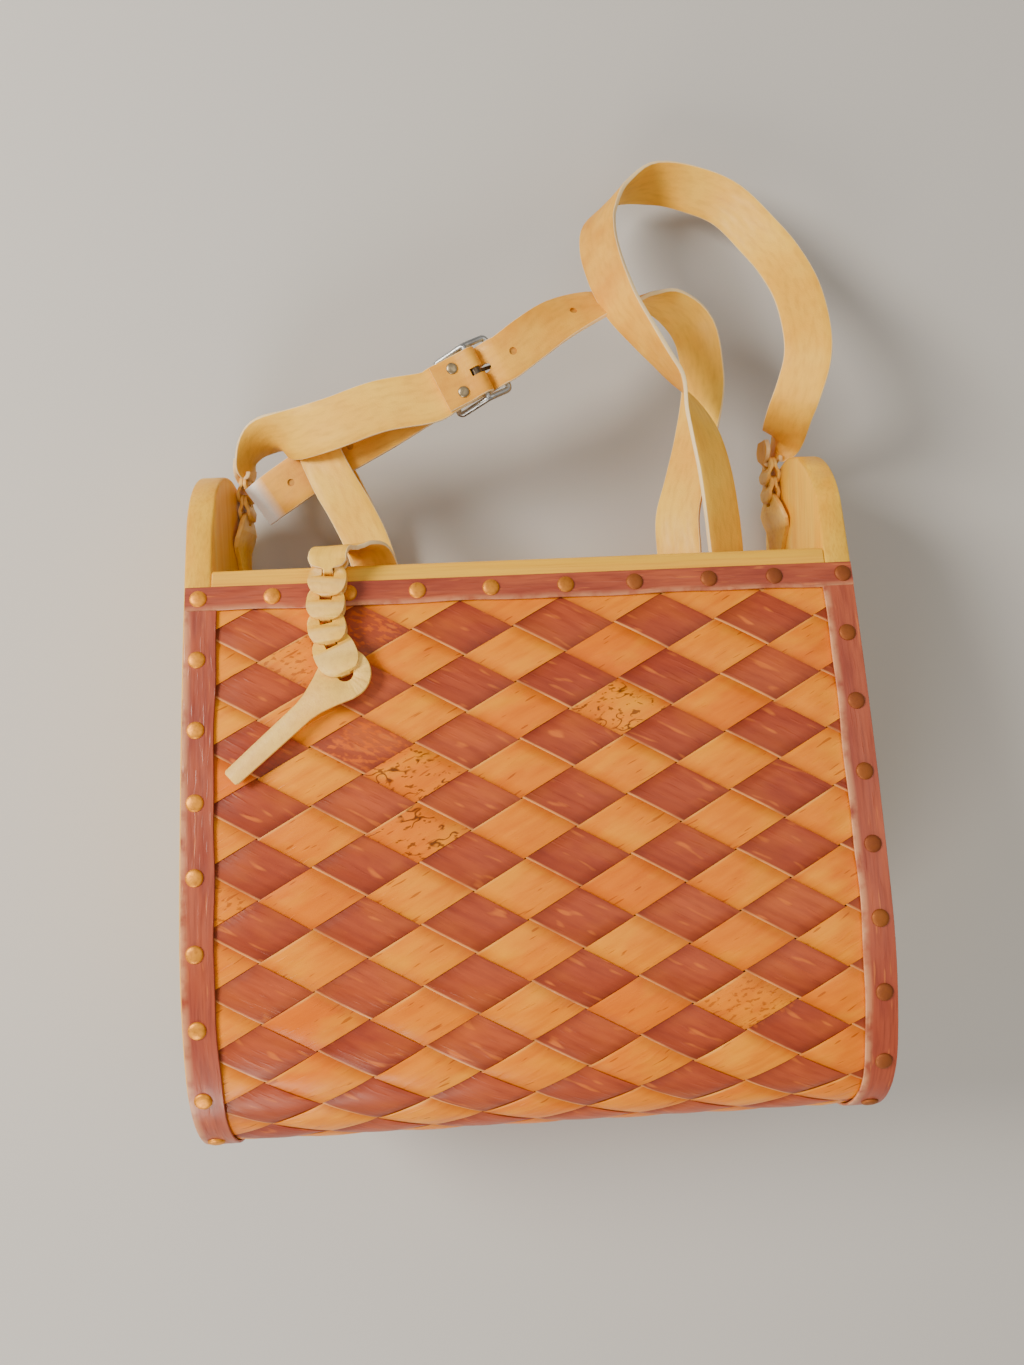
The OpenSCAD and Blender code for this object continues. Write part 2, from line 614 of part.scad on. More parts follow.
module shoulder_strap() {
    rows = smooth(concat(free_end, through_buckle, to_mouth, turn_in_bag, standing_loop,
        reversed(strap_fold(chain_x))), steps);
    hole_d = 4.2;
    difference() {
        ribbon(rows);
        for (i = [1.33, 3, 4.67, 14.33, 15.67]) strap_hole(rows, round(i * steps), hole_d);
        // The prong's own hole is worn long
        at_buckle() translate([5.1, 0, -3.2]) rotate([0, -20, 0]) punch(hole_d, 2.4);
    }
}

// ---- Closing strap ----
// Tacked to the back rail, it stands up behind the shoulder strap's free end, comes
// over it, dips into the bag behind the front rail and rises again to lift_axis, where
// the front part hangs.
closing_half_w = 10.6;
lobe_half_w = 8.3;
lift_axis = [7.2, 98];
module closing_strap() {
    back = tack_rise + wood_inset + rail_t + strap_t / 2 + 0.25;
    h = closing_half_w;
    out = lift_axis[0] - strap_t / 2;
    ribbon(smooth([
        [-73, -21, back, 1, 0, 0, h], [-73, -10, back, 1, 0, 0, h],
        [-73.5, 1, back, 1, 0.1, 0, h], [-76, 15, back + 1.5, 0.97, 0.22, 0, h],
        [-81, 30, 19.5, 0.94, 0.34, 0, h], [-87, 44, 27, 0.92, 0.39, 0, h],
        [-92.5, 56, 36, 0.91, 0.41, 0, h], [-95.5, 63.5, 43, 0.91, 0.41, 0, h],
        [-96.5, 66.5, 48, 0.91, 0.41, 0.08, h], [-95.5, 63.7, 52.3, 0.9, 0.4, 0.16, h],
        [-91.5, 52.5, 53.3, 0.9, 0.38, 0.2, h], [-86, 40.5, 56.5, 0.93, 0.36, 0.1, h],
        [-79.3, 28.3, 61.5, 0.94, 0.34, 0, h],
        [-72.5, 14.5, 68, 0.95, 0.3, 0, h], [-68.5, 3, 71.5, 0.98, 0.2, 0, h],
        [-66, -8, 73.5, 1, 0.1, 0, h], [-65, -19, 74.5, 1, 0, 0, h],
        [-65, -24.5, 75.6, 1, 0, 0, h], [-65, -26.8, 78.4, 1, 0, 0, h],
        [-65, -24.5, 81.2, 1, 0, 0, h], [-65, -18, 82, 1, 0, 0, h],
        [-65.5, -6, 81.2, 0.98, 0.2, 0, 10.2], [-67.7, 3.4, 83.4, 0.95, 0.2, 0.25, 9.8],
        [-72.4, 7.4, 87.6, 0.86, 0.05, 0.5, 9.2], [-76.6, 7.2, 91.3, 0.86, 0, 0.5, 8.6],
        [-79.4, out + 0.2, 94.6, 0.9, 0, 0.42, lobe_half_w],
        [-81, out, lift_axis[1] - 0.3, 0.92, 0, 0.38, lobe_half_w]], 3));
}

module closing_strap_tacks() {
    back = tack_rise + wood_inset + rail_t + strap_t;
    for (x = [-79, -67], y = [-16, -7]) tack_at(x, [y, back, 0], 8, 6.6, 1.2);
}

// The point at a distance from chain_at()'s origin, down the front and out from it
function chain_point(x, v, n) = [x,
    chain_spot[0] - v * cos(chain_slope) + n * sin(chain_slope),
    chain_spot[1] + v * sin(chain_slope) + n * cos(chain_slope)];
function chain_row(v, n, half) = concat(chain_point(chain_top[0], chain_top[1] + v, n),
    [1, 0, 0, half]);

module closing_strap_front() {
    h = lobe_half_w;
    out = lift_axis[0] - strap_t / 2;
    ribbon(smooth([
        [-81.25, out, lift_axis[1] + 0.3, 0.92, 0, 0.38, h],
        [-82.4, out, lift_axis[1] + 2.7, 0.95, 0, 0.3, h],
        [-83.3, out - 0.6, lift_axis[1] + 4.8, 0.98, 0, 0.2, h],
        [-84.1, out - 1.9, lift_axis[1] + 6.5, 1, 0, 0.1, h],
        [-84.7, out - 3.7, lift_axis[1] + 7.6, 1, 0, 0, h],
        chain_row(-4.5, 3.1, h), chain_row(-2.2, 3, 6.6),
        chain_row(-0.8, 2.9, 2.3), chain_row(0.1, 1.7, 2.2), chain_row(0.4, 0, 2.2),
        chain_row(0.1, -1.7, 2.2), chain_row(-0.8, -2.9, 2.3), chain_row(-2.2, -3, 6.6),
        chain_row(-4.5, -3.1, h), chain_row(-7, -3, h), chain_row(-9.6, -3, 6.6)], 3));
}

module placed() { translate([0, mouth_y, 0]) children(); }

placed() {
    left_gable();
    right_gable();
    front_rail();
    back_rail();
    bark_body();
    front_top_band();
    back_top_band();
    left_side_band();
    right_side_band();
    front_top_tacks();
    back_top_tacks();
    left_side_tacks();
    right_side_tacks();
    left_strap_tab();
    right_strap_tab();
    strap_tab_tacks();
    closing_strap_tacks();
    left_strap_link_1();
    left_strap_link_2();
    right_strap_link_1();
    right_strap_link_2();
    buckle_strap();
    shoulder_strap();
    buckle_frame();
    buckle_prong();
    buckle_rivets();
    closing_strap();
    closing_strap_front();
    chain_link_1();
    chain_link_2();
    chain_link_3();
    chain_link_4();
    tongue();
}
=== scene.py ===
import math
import random

import bmesh
import bpy
import numpy as np
from mathutils import Matrix, Vector


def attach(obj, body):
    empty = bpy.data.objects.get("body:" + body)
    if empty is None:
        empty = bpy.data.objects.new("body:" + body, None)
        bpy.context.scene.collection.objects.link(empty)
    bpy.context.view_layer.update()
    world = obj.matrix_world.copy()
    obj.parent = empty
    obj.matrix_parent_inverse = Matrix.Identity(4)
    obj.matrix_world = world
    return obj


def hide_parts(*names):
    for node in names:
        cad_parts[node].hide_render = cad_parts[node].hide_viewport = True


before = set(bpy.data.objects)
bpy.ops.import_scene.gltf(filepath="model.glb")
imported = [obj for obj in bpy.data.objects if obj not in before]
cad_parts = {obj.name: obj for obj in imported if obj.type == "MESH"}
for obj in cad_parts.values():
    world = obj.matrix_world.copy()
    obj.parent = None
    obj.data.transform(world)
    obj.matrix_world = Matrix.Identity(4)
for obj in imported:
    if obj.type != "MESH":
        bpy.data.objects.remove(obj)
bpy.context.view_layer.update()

# ---- The view, the table and the light ----
# The bag lies on its back on a plain pale table top, seen from above its mouth. Soft light
# comes from a window on the left, and a second one beyond its base puts gloss on its belly.
lens = bpy.data.cameras.new("view_from_above")
lens.sensor_fit = "HORIZONTAL"
lens.sensor_width = 36
lens.lens = 36.035
viewer = bpy.data.objects.new("view_from_above", lens)
bpy.context.collection.objects.link(viewer)
viewer_place = Vector((-0.02451, -0.00111, 0.5578))
viewer_tilt = Vector((-0.05606, -0.04063, -0.04307))   # about this axis, by its length in radians
viewer.matrix_world = (Matrix.Translation(viewer_place)
                       @ Matrix.Rotation(viewer_tilt.length, 4, viewer_tilt.normalized()))
bpy.context.scene.camera = viewer


def tint(red, green, blue):
    """A colour from its screen values, 0 to 255."""
    return [(value / 255) ** 2.2 for value in (red, green, blue)] + [1]


def shader_inputs(finish):
    return finish.node_tree.nodes["Principled BSDF"].inputs


bpy.ops.mesh.primitive_plane_add(size=6, location=(0, 0, 0))
table_top = bpy.context.object
table_top.name = "table_top"
pale = bpy.data.materials.new("pale_table")
pale.use_nodes = True
shader_inputs(pale)["Base Color"].default_value = tint(196, 196, 196)
shader_inputs(pale)["Roughness"].default_value = 0.8
table_top.data.materials.append(pale)


def soft_light(name, place, target, size, power):
    """A round warm light as wide as size, turned towards target."""
    lamp = bpy.data.lights.new(name, "AREA")
    lamp.color = (1, 0.91, 0.78)
    lamp.shape = "DISK"
    lamp.size = size
    lamp.energy = power
    holder = bpy.data.objects.new(name, lamp)
    bpy.context.collection.objects.link(holder)
    holder.location = place
    holder.rotation_euler = (Vector(target) - Vector(place)).to_track_quat("-Z", "Y").to_euler()


soft_light("left_window", (-1.15, 0.45, 1.0), (0, 0, 0.05), 0.6, 28)
soft_light("low_window", (-0.55, -1.25, 0.85), (0, -0.1, 0.1), 0.7, 13)
soft_light("ceiling", (0.5, 0.3, 1.8), (0, 0, 0), 1.6, 8.5)
room = bpy.data.worlds.new("room")
room.use_nodes = True
room.node_tree.nodes["Background"].inputs["Color"].default_value = tint(246, 238, 226)
room.node_tree.nodes["Background"].inputs["Strength"].default_value = 0.37
bpy.context.scene.world = room

# ---- The two gables and the two rails ----
# Boards of pale varnished birch. The gables carry everything: the rails are fixed
# between them along the mouth, and bark, bands and straps are tacked to them.


def node(tree, kind, settings=None, **sockets):
    """One shader node, with its settings, and its sockets given a value or a link."""
    made = tree.nodes.new("ShaderNode" + kind)
    for key, value in (settings or {}).items():
        setattr(made, key, value)
    for key, value in sockets.items():
        socket = made.inputs[key.replace("_", " ")]
        if isinstance(value, bpy.types.NodeSocket):
            tree.links.new(value, socket)
        else:
            socket.default_value = value
    return made


def bag_place(tree):
    """Where a point lies on the bag, in metres."""
    return node(tree, "TexCoord").outputs["Object"]


def above(tree, value, low, high):
    """0 where value is low, 1 where it is high."""
    return node(tree, "MapRange", Value=value, From_Min=low, From_Max=high).outputs["Result"]


def fibres(tree, place, stretch, low, high, detail=3.0, shift=(0, 0, 0)):
    """Noise stretched along the grain, as 0 below low and 1 above high."""
    at = node(tree, "Mapping", Vector=place, Scale=stretch, Location=shift)
    noise = node(tree, "TexNoise", Vector=at.outputs[0], Scale=1.0, Detail=detail)
    return above(tree, noise.outputs["Fac"], low, high)


def painted(tree, amount, under, over):
    """The colour over on the colour under, as much as amount says."""
    return node(tree, "MixRGB", Fac=amount, Color1=under, Color2=over).outputs["Color"]


def worked_out(tree, operation, first, second):
    """One step of arithmetic, each of its two values a number or a link."""
    made = tree.nodes.new("ShaderNodeMath")
    made.operation = operation
    for socket, given in zip(made.inputs, (first, second)):
        if isinstance(given, bpy.types.NodeSocket):
            tree.links.new(given, socket)
        else:
            socket.default_value = given
    return made.outputs[0]


def scaled(tree, value, factor):
    return worked_out(tree, "MULTIPLY", value, factor)


def added(tree, value, other):
    return worked_out(tree, "ADD", value, other)


def coated(tree, under, pattern, share, over):
    """The colour over where the pattern lies, by no more than share."""
    return painted(tree, scaled(tree, pattern, share), under, over)


def between(tree, amount, low, high):
    """low where amount is 0, high where it is 1."""
    return node(tree, "MapRange", Value=amount, To_Min=low, To_Max=high).outputs["Result"]


def new_finish(name, colour, roughness, height, depth):
    """A material. The functions colour, roughness and height each add their nodes to its
    tree, and depth is how deep the relief is in metres."""
    finish = bpy.data.materials.new(name)
    finish.use_nodes = True
    tree = finish.node_tree
    inputs = shader_inputs(finish)
    tree.links.new(colour(tree), inputs["Base Color"])
    tree.links.new(roughness(tree), inputs["Roughness"])
    relief = node(tree, "Bump", Height=height(tree), Distance=depth, Strength=1.0)
    tree.links.new(relief.outputs[0], inputs["Normal"])
    return finish


def board_finish(name, along):
    """Varnished birch with its grain along one axis of the bag, 0 for x and 1 for y."""
    fine = [28 if axis == along else 900 for axis in range(3)]
    broad = [5 if axis == along else 90 for axis in range(3)]

    def colour(tree):
        wood = painted(tree, fibres(tree, bag_place(tree), broad, 0.35, 0.7),
                       tint(255, 202, 62), tint(248, 178, 36))
        streaks = fibres(tree, bag_place(tree), fine, 0.45, 0.75)
        wood = coated(tree, wood, streaks, 0.4, tint(210, 138, 36))
        stains = fibres(tree, bag_place(tree), (14, 14, 14), 0.55, 0.8)
        return coated(tree, wood, stains, 0.45, tint(196, 118, 46))

    def gloss(tree):
        return between(tree, fibres(tree, bag_place(tree), broad, 0.3, 0.7), 0.3, 0.45)

    def relief(tree):
        return fibres(tree, bag_place(tree), fine, 0.2, 0.8)

    return new_finish(name, colour, gloss, relief, 0.00008)


def eased(name, body, finish, edge, turn=35, segments=2, whole_faces=True):
    """A piece with the CAD node's own shape and its sharp edges rounded by edge."""
    bpy.ops.object.select_all(action="DESELECT")
    piece = bpy.data.objects.new(name + "_eased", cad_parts[name].data.copy())
    bpy.context.collection.objects.link(piece)
    bpy.context.view_layer.objects.active = piece
    piece.select_set(True)
    bpy.ops.object.mode_set(mode="EDIT")
    bpy.ops.mesh.select_all(action="SELECT")
    bpy.ops.mesh.customdata_custom_splitnormals_clear()
    bpy.ops.mesh.remove_doubles(threshold=2e-6)
    if whole_faces:
        bpy.ops.mesh.dissolve_limited(angle_limit=math.radians(0.5))
    bpy.ops.object.mode_set(mode="OBJECT")
    rounding = piece.modifiers.new("rounding", "BEVEL")
    rounding.width = edge
    rounding.segments = segments
    rounding.limit_method = "ANGLE"
    rounding.harden_normals = True
    rounding.angle_limit = math.radians(turn)
    bpy.ops.object.modifier_apply(modifier="rounding")
    bpy.ops.object.shade_smooth_by_angle(angle=math.radians(turn))
    piece.data.materials.clear()
    piece.data.materials.append(finish)
    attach(piece, body)
    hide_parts(name)
    return piece


gable_wood = board_finish("gable_wood", 1)
rail_wood = board_finish("rail_wood", 0)
for board in ("left_gable", "right_gable"):
    eased(board, "bag", gable_wood, 0.0012, turn=40, segments=3)
for board in ("front_rail", "back_rail"):
    eased(board, "bag", rail_wood, 0.0006, turn=25)

# ---- The plaited bark ----
# Strips of birch bark 22 mm wide, golden ones rising to the right and red-brown ones
# falling, plaited over one and under one and bent round the gables, closed by the
# bands at all four edges. Each strip is its own ribbon here, over and under in turn.

# The gables' outline, which the bark follows: arcs that run into each other, in mm. A slope
# is that of the outline's outward normal, in degrees from straight up towards the mouth.
top_radius, top_rise, tack_rise = 46, 3.5, 1.3
front_slope, belly_slope, base_slope = 19.3, 12, -6
front_length, belly_length, base_radius = 177.3, 62, 50
mouth_y = 29.4   # from the middle of the laid-out bag to the mouth's edge


def outward(slope):
    """The outline's outward direction, as y and z."""
    return np.array([math.sin(math.radians(slope)), math.cos(math.radians(slope))])


top_centre = np.array([top_rise, top_radius + tack_rise])
front_radius = front_length / math.radians(front_slope - belly_slope)
front_centre = top_centre + (top_radius - front_radius) * outward(front_slope)
belly_radius = belly_length / math.radians(belly_slope - base_slope)
belly_centre = front_centre + (front_radius - belly_radius) * outward(belly_slope)
base_centre = belly_centre + (belly_radius - base_radius) * outward(base_slope)
heel_radius = base_centre[1] - tack_rise
heel_centre = base_centre + (base_radius - heel_radius) * outward(-90)
# How far down the wall from the mouth's edge each bend begins, and where the flat back does
mouth_slope = math.degrees(math.asin(-front_centre[0] / front_radius))
belly_start = front_radius * math.radians(mouth_slope - belly_slope)
base_start = belly_start + belly_length
heel_start = base_start + base_radius * math.radians(base_slope + 90)
heel_end = heel_start + heel_radius * math.radians(90)
back_end = heel_end - heel_centre[0]
wall_bends = [(0, front_radius, front_centre, mouth_slope),
              (belly_start, belly_radius, belly_centre, belly_slope),
              (base_start, base_radius, base_centre, base_slope),
              (heel_start, heel_radius, heel_centre, -90)]


def on_wall(x, down, depth):
    """Points in metres at x across the bag, down the wall from the mouth's edge and depth
    below its outer line, all in mm. On the front a rising depth goes into the bag."""
    x, down, depth = np.broadcast_arrays(*(np.asarray(a, float) for a in (x, down, depth)))
    # The flat back first, then each bend from the heel up over what lies before its end
    y = heel_centre[0] + (down - heel_end)
    z = tack_rise + depth
    ends = [bend[0] for bend in wall_bends[1:]] + [heel_end]
    for (start, radius, centre, slope), end in zip(wall_bends[::-1], ends[::-1]):
        turn = math.radians(slope) - (down - start) / radius
        y = np.where(down < end, centre[0] + (radius - depth) * np.sin(turn), y)
        z = np.where(down < end, centre[1] + (radius - depth) * np.cos(turn), z)
    return np.stack([x, y + mouth_y, z], axis=-1) / 1000


def ribbon_mesh(name, rings, lengths, widths, marks):
    """A closed tube through rings of points, with its UV map running along and across it
    in metres, and marks as point attributes."""
    count, around = rings.shape[:2]
    points = rings.reshape(-1, 3)
    ring, place = np.meshgrid(np.arange(count - 1), np.arange(around), indexing="ij")
    beside = (place + 1) % around
    quads = np.stack([ring * around + place, ring * around + beside,
                      (ring + 1) * around + beside, (ring + 1) * around + place], -1)
    faces = quads.reshape(-1, 4).tolist()
    faces.append(list(range(around))[::-1])
    faces.append(list(range((count - 1) * around, count * around)))
    mesh = bpy.data.meshes.new(name)
    mesh.from_pydata(points.tolist(), [], faces)
    spot = np.stack([np.broadcast_to(lengths.reshape(count, -1), (count, around)),
                     np.broadcast_to(widths, (count, around))], -1).reshape(-1, 2)
    corners = np.empty(len(mesh.loops), int)
    mesh.loops.foreach_get("vertex_index", corners)
    mesh.uv_layers.new(name="strip").data.foreach_set("uv", spot[corners].ravel())
    for key, values in marks.items():
        kept = mesh.attributes.new(key, "FLOAT", "POINT")
        kept.data.foreach_set("value", np.broadcast_to(values, (count, around)).ravel().astype(float))
    return mesh


def outwards(mesh):
    """The mesh with all its faces turned outwards."""
    shape = bmesh.new()
    shape.from_mesh(mesh)
    bmesh.ops.recalc_face_normals(shape, faces=shape.faces[:])
    shape.to_mesh(mesh)
    shape.free()
    return mesh


def one_piece(name, meshes, finish, body, slot, *nodes):
    """Joins meshes into one piece that rides on body and stands for the CAD nodes."""
    bpy.ops.object.select_all(action="DESELECT")
    parts = []
    for mesh in meshes:
        part = bpy.data.objects.new(name, mesh)
        bpy.context.collection.objects.link(part)
        part.select_set(True)
        parts.append(part)
    bpy.context.view_layer.objects.active = parts[0]
    if len(parts) > 1:
        bpy.ops.object.join()
    piece = bpy.context.view_layer.objects.active
    piece.name = name
    bpy.ops.object.shade_smooth_by_angle(angle=math.radians(40))
    piece.data.materials.clear()
    piece.data.materials.append(finish)
    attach(piece, body)
    if nodes:
        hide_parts(*nodes)
    return piece


cell_across, cell_down = 44.77, 25.4   # a cell's width and height, corner to corner
first_across, first_down = 17.1, 6.9   # the middle of a red-brown cell near the mouth
row_drop = 0.0078                      # how much the rows of cells drop to the right
strip_run = math.hypot(cell_across, cell_down) / 2
bark_edge = 148.5
bark_top, bark_bottom = 9, back_end - 9
plait_depth = 2.2                      # the plait's middle, below the wall's outer line
over_rise, crown_rise, crown_sink = 0.42, 0.95, 0.45
change_over = 2.4                      # how suddenly a strip goes from over to under
# The bands hold the strips flat outside these places, and each crown rises over free_ease
free_x, free_top, free_bottom, free_ease = 134, 20, bark_bottom - 12, 9
# A strip's section: share of its half width, and height of its skin in mm
strip_side = np.array([-1, -0.97, -0.88, -0.7, -0.36, 0, 0.36, 0.7, 0.88, 0.97, 1,
                       1, 0.97, 0.5, 0, -0.5, -0.97, -1])
strip_skin = np.array([0.12, 0.2, 0.22, 0.22, 0.22, 0.22, 0.22, 0.22, 0.22, 0.2, 0.12,
                       -0.12, -0.2, -0.22, -0.22, -0.22, -0.2, -0.12])
# Cells whose bark has knots (1) or rust-coloured specks (2), by their place across and down
marked_cells = [(40, 69, 1), (-48, 120, 1), (88, 198, 2), (-124, 144, 2), (-71, 83, 2),
                (-110, 47, 2), (-49, 94, 1), (-72, 32, 2)]
random.seed(11)


def cell_tone(along_golden, along_brown):
    return random.Random(int(along_golden) * 1009 + int(along_brown) * 9176 + 5).random()


def cell_at(x, down):
    """The cell (g, b) at a place, which lies on golden strip b and red-brown strip g."""
    over, below = (x - first_across) / cell_across, (down - first_down) / cell_down
    return over - below, over + below


def plaited_strip(number, golden):
    """One strip, flat, as a mesh in mm: x across the bag, y down the wall, z out of it."""
    width = 0.5 * random.uniform(0.965, 0.985)
    along = 0 if golden else 1
    reach = [cell_at(x, down)[along] for x in (-bark_edge, bark_edge) for down in (bark_top, bark_bottom)]
    cells = np.arange(math.floor(min(reach)) - 1, math.ceil(max(reach)) + 1.01, 0.1)
    cells, across = cells[:, None], (number + width * strip_side)[None, :]
    g, b = (cells, across) if golden else (across, cells)
    x = first_across + (g + b) * cell_across / 2
    down = first_down + (b - g) * cell_down / 2 + row_drop * x
    near = ((x.min(1) < bark_edge + 3) & (x.max(1) > -bark_edge - 3)
            & (down.min(1) < bark_bottom + 3) & (down.max(1) > bark_top - 3))
    if near.sum() < 4:
        return None
    first, last = np.flatnonzero(near)[[0, -1]]
    keep = slice(max(first - 1, 0), last + 2)
    cells, x, down = cells[keep], x[keep], down[keep]
    wave = np.cos(np.pi * (cells + number)) * (-1 if golden else 1)
    over = np.tanh(change_over * wave) / np.tanh(change_over)
    # The crown of a cell, flat near the bands that hold the strips down
    free = np.minimum(free_x - np.abs(x), np.minimum(down - free_top, free_bottom - down))
    dome = (1 - strip_side[None, :] ** 2 * 0.9) * np.clip(free / free_ease, 0, 1)
    crown = np.clip(wave, 0, 1) ** 0.6 * dome
    inward = np.clip(-wave, 0, 1) ** 0.6 * dome
    height = over_rise * over + crown_rise * crown - crown_sink * inward + strip_skin[None, :]
    tones = np.array([cell_tone(round(c), number) if golden else cell_tone(number, round(c))
                      for c in cells[:, 0]])
    kinds = np.zeros((2,) + x.shape)
    for spot_x, spot_down, kind in marked_cells:
        spot = cell_at(spot_x, spot_down - row_drop * spot_x)
        if round(spot[1 - along]) == number:
            kinds[kind - 1, np.abs(cells[:, 0] - round(spot[along])) < 0.5] = 1
    strip_tone = random.random()
    start = random.uniform(0, 3)
    # dive marks where the strip goes under the next one, for painted shade in its colour
    return ribbon_mesh("strip", np.stack([x, down, height], -1), cells * strip_run / 1000 + start,
                       strip_side * 0.011 + number * 0.05,
                       {"tone": 0.65 * tones[:, None] + 0.35 * strip_tone,
                        "knots": kinds[0], "specks": kinds[1], "lean": strip_side,
                        "dive": np.clip(1 - 1.6 * wave, 0, 1)})


def trimmed(mesh):
    """The flat strip, cut off at the bark's four edges, its cuts closed."""
    shape = bmesh.new()
    shape.from_mesh(mesh)
    for at, away in (((bark_edge, 0, 0), (1, 0, 0)), ((-bark_edge, 0, 0), (-1, 0, 0)),
                     ((0, bark_top, 0), (0, -1, 0)), ((0, bark_bottom, 0), (0, 1, 0))):
        bmesh.ops.bisect_plane(shape, geom=shape.verts[:] + shape.edges[:] + shape.faces[:],
                               dist=1e-5, plane_co=at, plane_no=away, clear_outer=True)
    bmesh.ops.holes_fill(shape, edges=[e for e in shape.edges if e.is_boundary], sides=0)
    bmesh.ops.recalc_face_normals(shape, faces=shape.faces[:])
    shape.to_mesh(mesh)
    shape.free()
    return mesh


def plait(golden):
    """All strips of one colour, bent round the gables."""
    flat_strips = [plaited_strip(number, golden) for number in range(-32, 34)]
    meshes = [trimmed(strip) for strip in flat_strips if strip]
    meshes = [mesh for mesh in meshes if len(mesh.vertices)]
    for mesh in meshes:
        flat = np.empty(len(mesh.vertices) * 3)
        mesh.vertices.foreach_get("co", flat)
        x, down, height = flat.reshape(-1, 3).T
        mesh.vertices.foreach_set("co", on_wall(x, down, plait_depth - height).ravel())
        mesh.flip_normals()
        mesh.update()
    return meshes


def strip_place(tree):
    """Where a point lies along and across its own strip, in metres."""
    return node(tree, "UVMap", {"uv_map": "strip"}).outputs[0]


def mark(tree, name):
    return node(tree, "Attribute", {"attribute_name": name}).outputs["Fac"]


def scribble(tree, at, stretch):
    """Thin curly lines, where a broad noise passes through its middle value."""
    turned = node(tree, "Mapping", Vector=at, Scale=stretch)
    noise = node(tree, "TexNoise", Vector=turned.outputs[0], Scale=1.0, Detail=1.0).outputs["Fac"]
    away = worked_out(tree, "ABSOLUTE", added(tree, noise, -0.5), 0.0)
    return node(tree, "MapRange", Value=away, From_Min=0.008, From_Max=0.035, To_Min=1.0,
                To_Max=0.0).outputs["Result"]


def golden_colour(tree):
    at = strip_place(tree)
    bark = painted(tree, mark(tree, "tone"), tint(230, 114, 0), tint(250, 154, 0))
    bark = coated(tree, bark, fibres(tree, at, (45, 260, 1), 0.4, 0.75), 0.5, tint(204, 92, 0))
    pale_patches = fibres(tree, at, (35, 60, 1), 0.5, 0.75, shift=(3, 1, 0))
    bark = coated(tree, bark, pale_patches, 0.5, tint(255, 178, 12))
    pores = fibres(tree, at, (85, 560, 1), 0.68, 0.72, 1.0, (7, 2, 0))
    bark = coated(tree, bark, pores, 0.6, tint(150, 62, 10))
    curls = scaled(tree, scribble(tree, at, (120, 170, 1)),
                   fibres(tree, at, (80, 110, 1), 0.5, 0.56, shift=(6, 6, 0)))
    bark = coated(tree, bark, scaled(tree, curls, mark(tree, "knots")), 0.9, tint(84, 40, 12))
    dots = fibres(tree, at, (300, 420, 1), 0.6, 0.66, 2.0, (4, 5, 0))
    bark = coated(tree, bark, scaled(tree, dots, mark(tree, "knots")), 0.8, tint(104, 52, 14))
    specks = fibres(tree, at, (320, 520, 1), 0.55, 0.62, 3.0, (1, 5, 0))
    bark = coated(tree, bark, scaled(tree, specks, mark(tree, "specks")), 0.6, tint(150, 70, 16))
    # A painted highlight along the upper cut edge, broken by noise, and painted shade at the ends where
    # the strip dives under the next one
    edge = above(tree, mark(tree, "lean"), -0.9, -0.98)
    edge_highlight = scaled(tree, edge, fibres(tree, at, (30, 30, 1), 0.4, 0.6))
    bark = coated(tree, bark, edge_highlight, 0.6, tint(252, 190, 96))
    # Painted shade at the strip's ends, where it dives under the next one
    return coated(tree, bark, mark(tree, "dive"), 0.45, tint(150, 58, 8))


def brown_colour(tree):
    at = strip_place(tree)
    bark = painted(tree, mark(tree, "tone"), tint(154, 64, 48), tint(190, 92, 56))
    bark = coated(tree, bark, fibres(tree, at, (50, 300, 1), 0.4, 0.75), 0.5, tint(124, 48, 40))
    rusty_patches = fibres(tree, at, (40, 60, 1), 0.48, 0.8, shift=(5, 3, 0))
    bark = coated(tree, bark, rusty_patches, 0.5, tint(204, 106, 44))
    # Painted shade on the half of the strip towards its lower edge, and long soft pores
    bark = coated(tree, bark, above(tree, mark(tree, "lean"), 0.2, -0.9), 0.35, tint(104, 40, 24))
    pores = fibres(tree, at, (80, 300, 1), 0.66, 0.75, 0.5, (2, 9, 0))
    bark = coated(tree, bark, pores, 0.75, tint(216, 112, 48))
    specks = fibres(tree, at, (240, 420, 1), 0.5, 0.6, 3.0, (1, 5, 0))
    bark = coated(tree, bark, scaled(tree, specks, mark(tree, "specks")), 0.8, tint(216, 100, 28))
    # Painted shade at the strip's ends, where it dives under the next one
    bark = coated(tree, bark, mark(tree, "dive"), 0.4, tint(84, 30, 20))
    # The lower cut edge shows the bark's paler inner layers
    wear = between(tree, fibres(tree, at, (60, 60, 1), 0.35, 0.6), 0.35, 0.85)
    edge = scaled(tree, above(tree, mark(tree, "lean"), -0.9, -0.97), wear)
    return painted(tree, edge, bark, tint(240, 164, 96))


def bark_gloss(tree):
    return between(tree, fibres(tree, strip_place(tree), (60, 300, 1), 0.3, 0.7), 0.3, 0.46)


def bark_relief(tree):
    at = strip_place(tree)
    pores = fibres(tree, at, (80, 600, 1), 0.6, 0.72, 1.0, (7, 2, 0))
    return added(tree, scaled(tree, fibres(tree, at, (70, 500, 1), 0.2, 0.8), 0.5),
                 scaled(tree, pores, 0.5))


golden_bark = new_finish("golden_bark", golden_colour, bark_gloss, bark_relief, 0.00015)
brown_bark = new_finish("brown_bark", brown_colour, bark_gloss, bark_relief, 0.00015)
for finish in (golden_bark, brown_bark):
    shader_inputs(finish)["Specular IOR Level"].default_value = 0.25
one_piece("golden_strips", plait(True), golden_bark, "bag", "bark", "bark_body")
one_piece("brown_strips", plait(False), brown_bark, "bag", "bark")

# ---- The bands along the edges ----
# Narrow strips of red-brown bark laid over the plait's raw edges: one along the mouth on
# each side of the bag, and one round each gable. Cut by eye, so they waver a little.
top_band_width, side_band_width = 11.2, 13.8
top_band_middle = bark_top + top_band_width / 2
side_band_top = bark_top + top_band_width


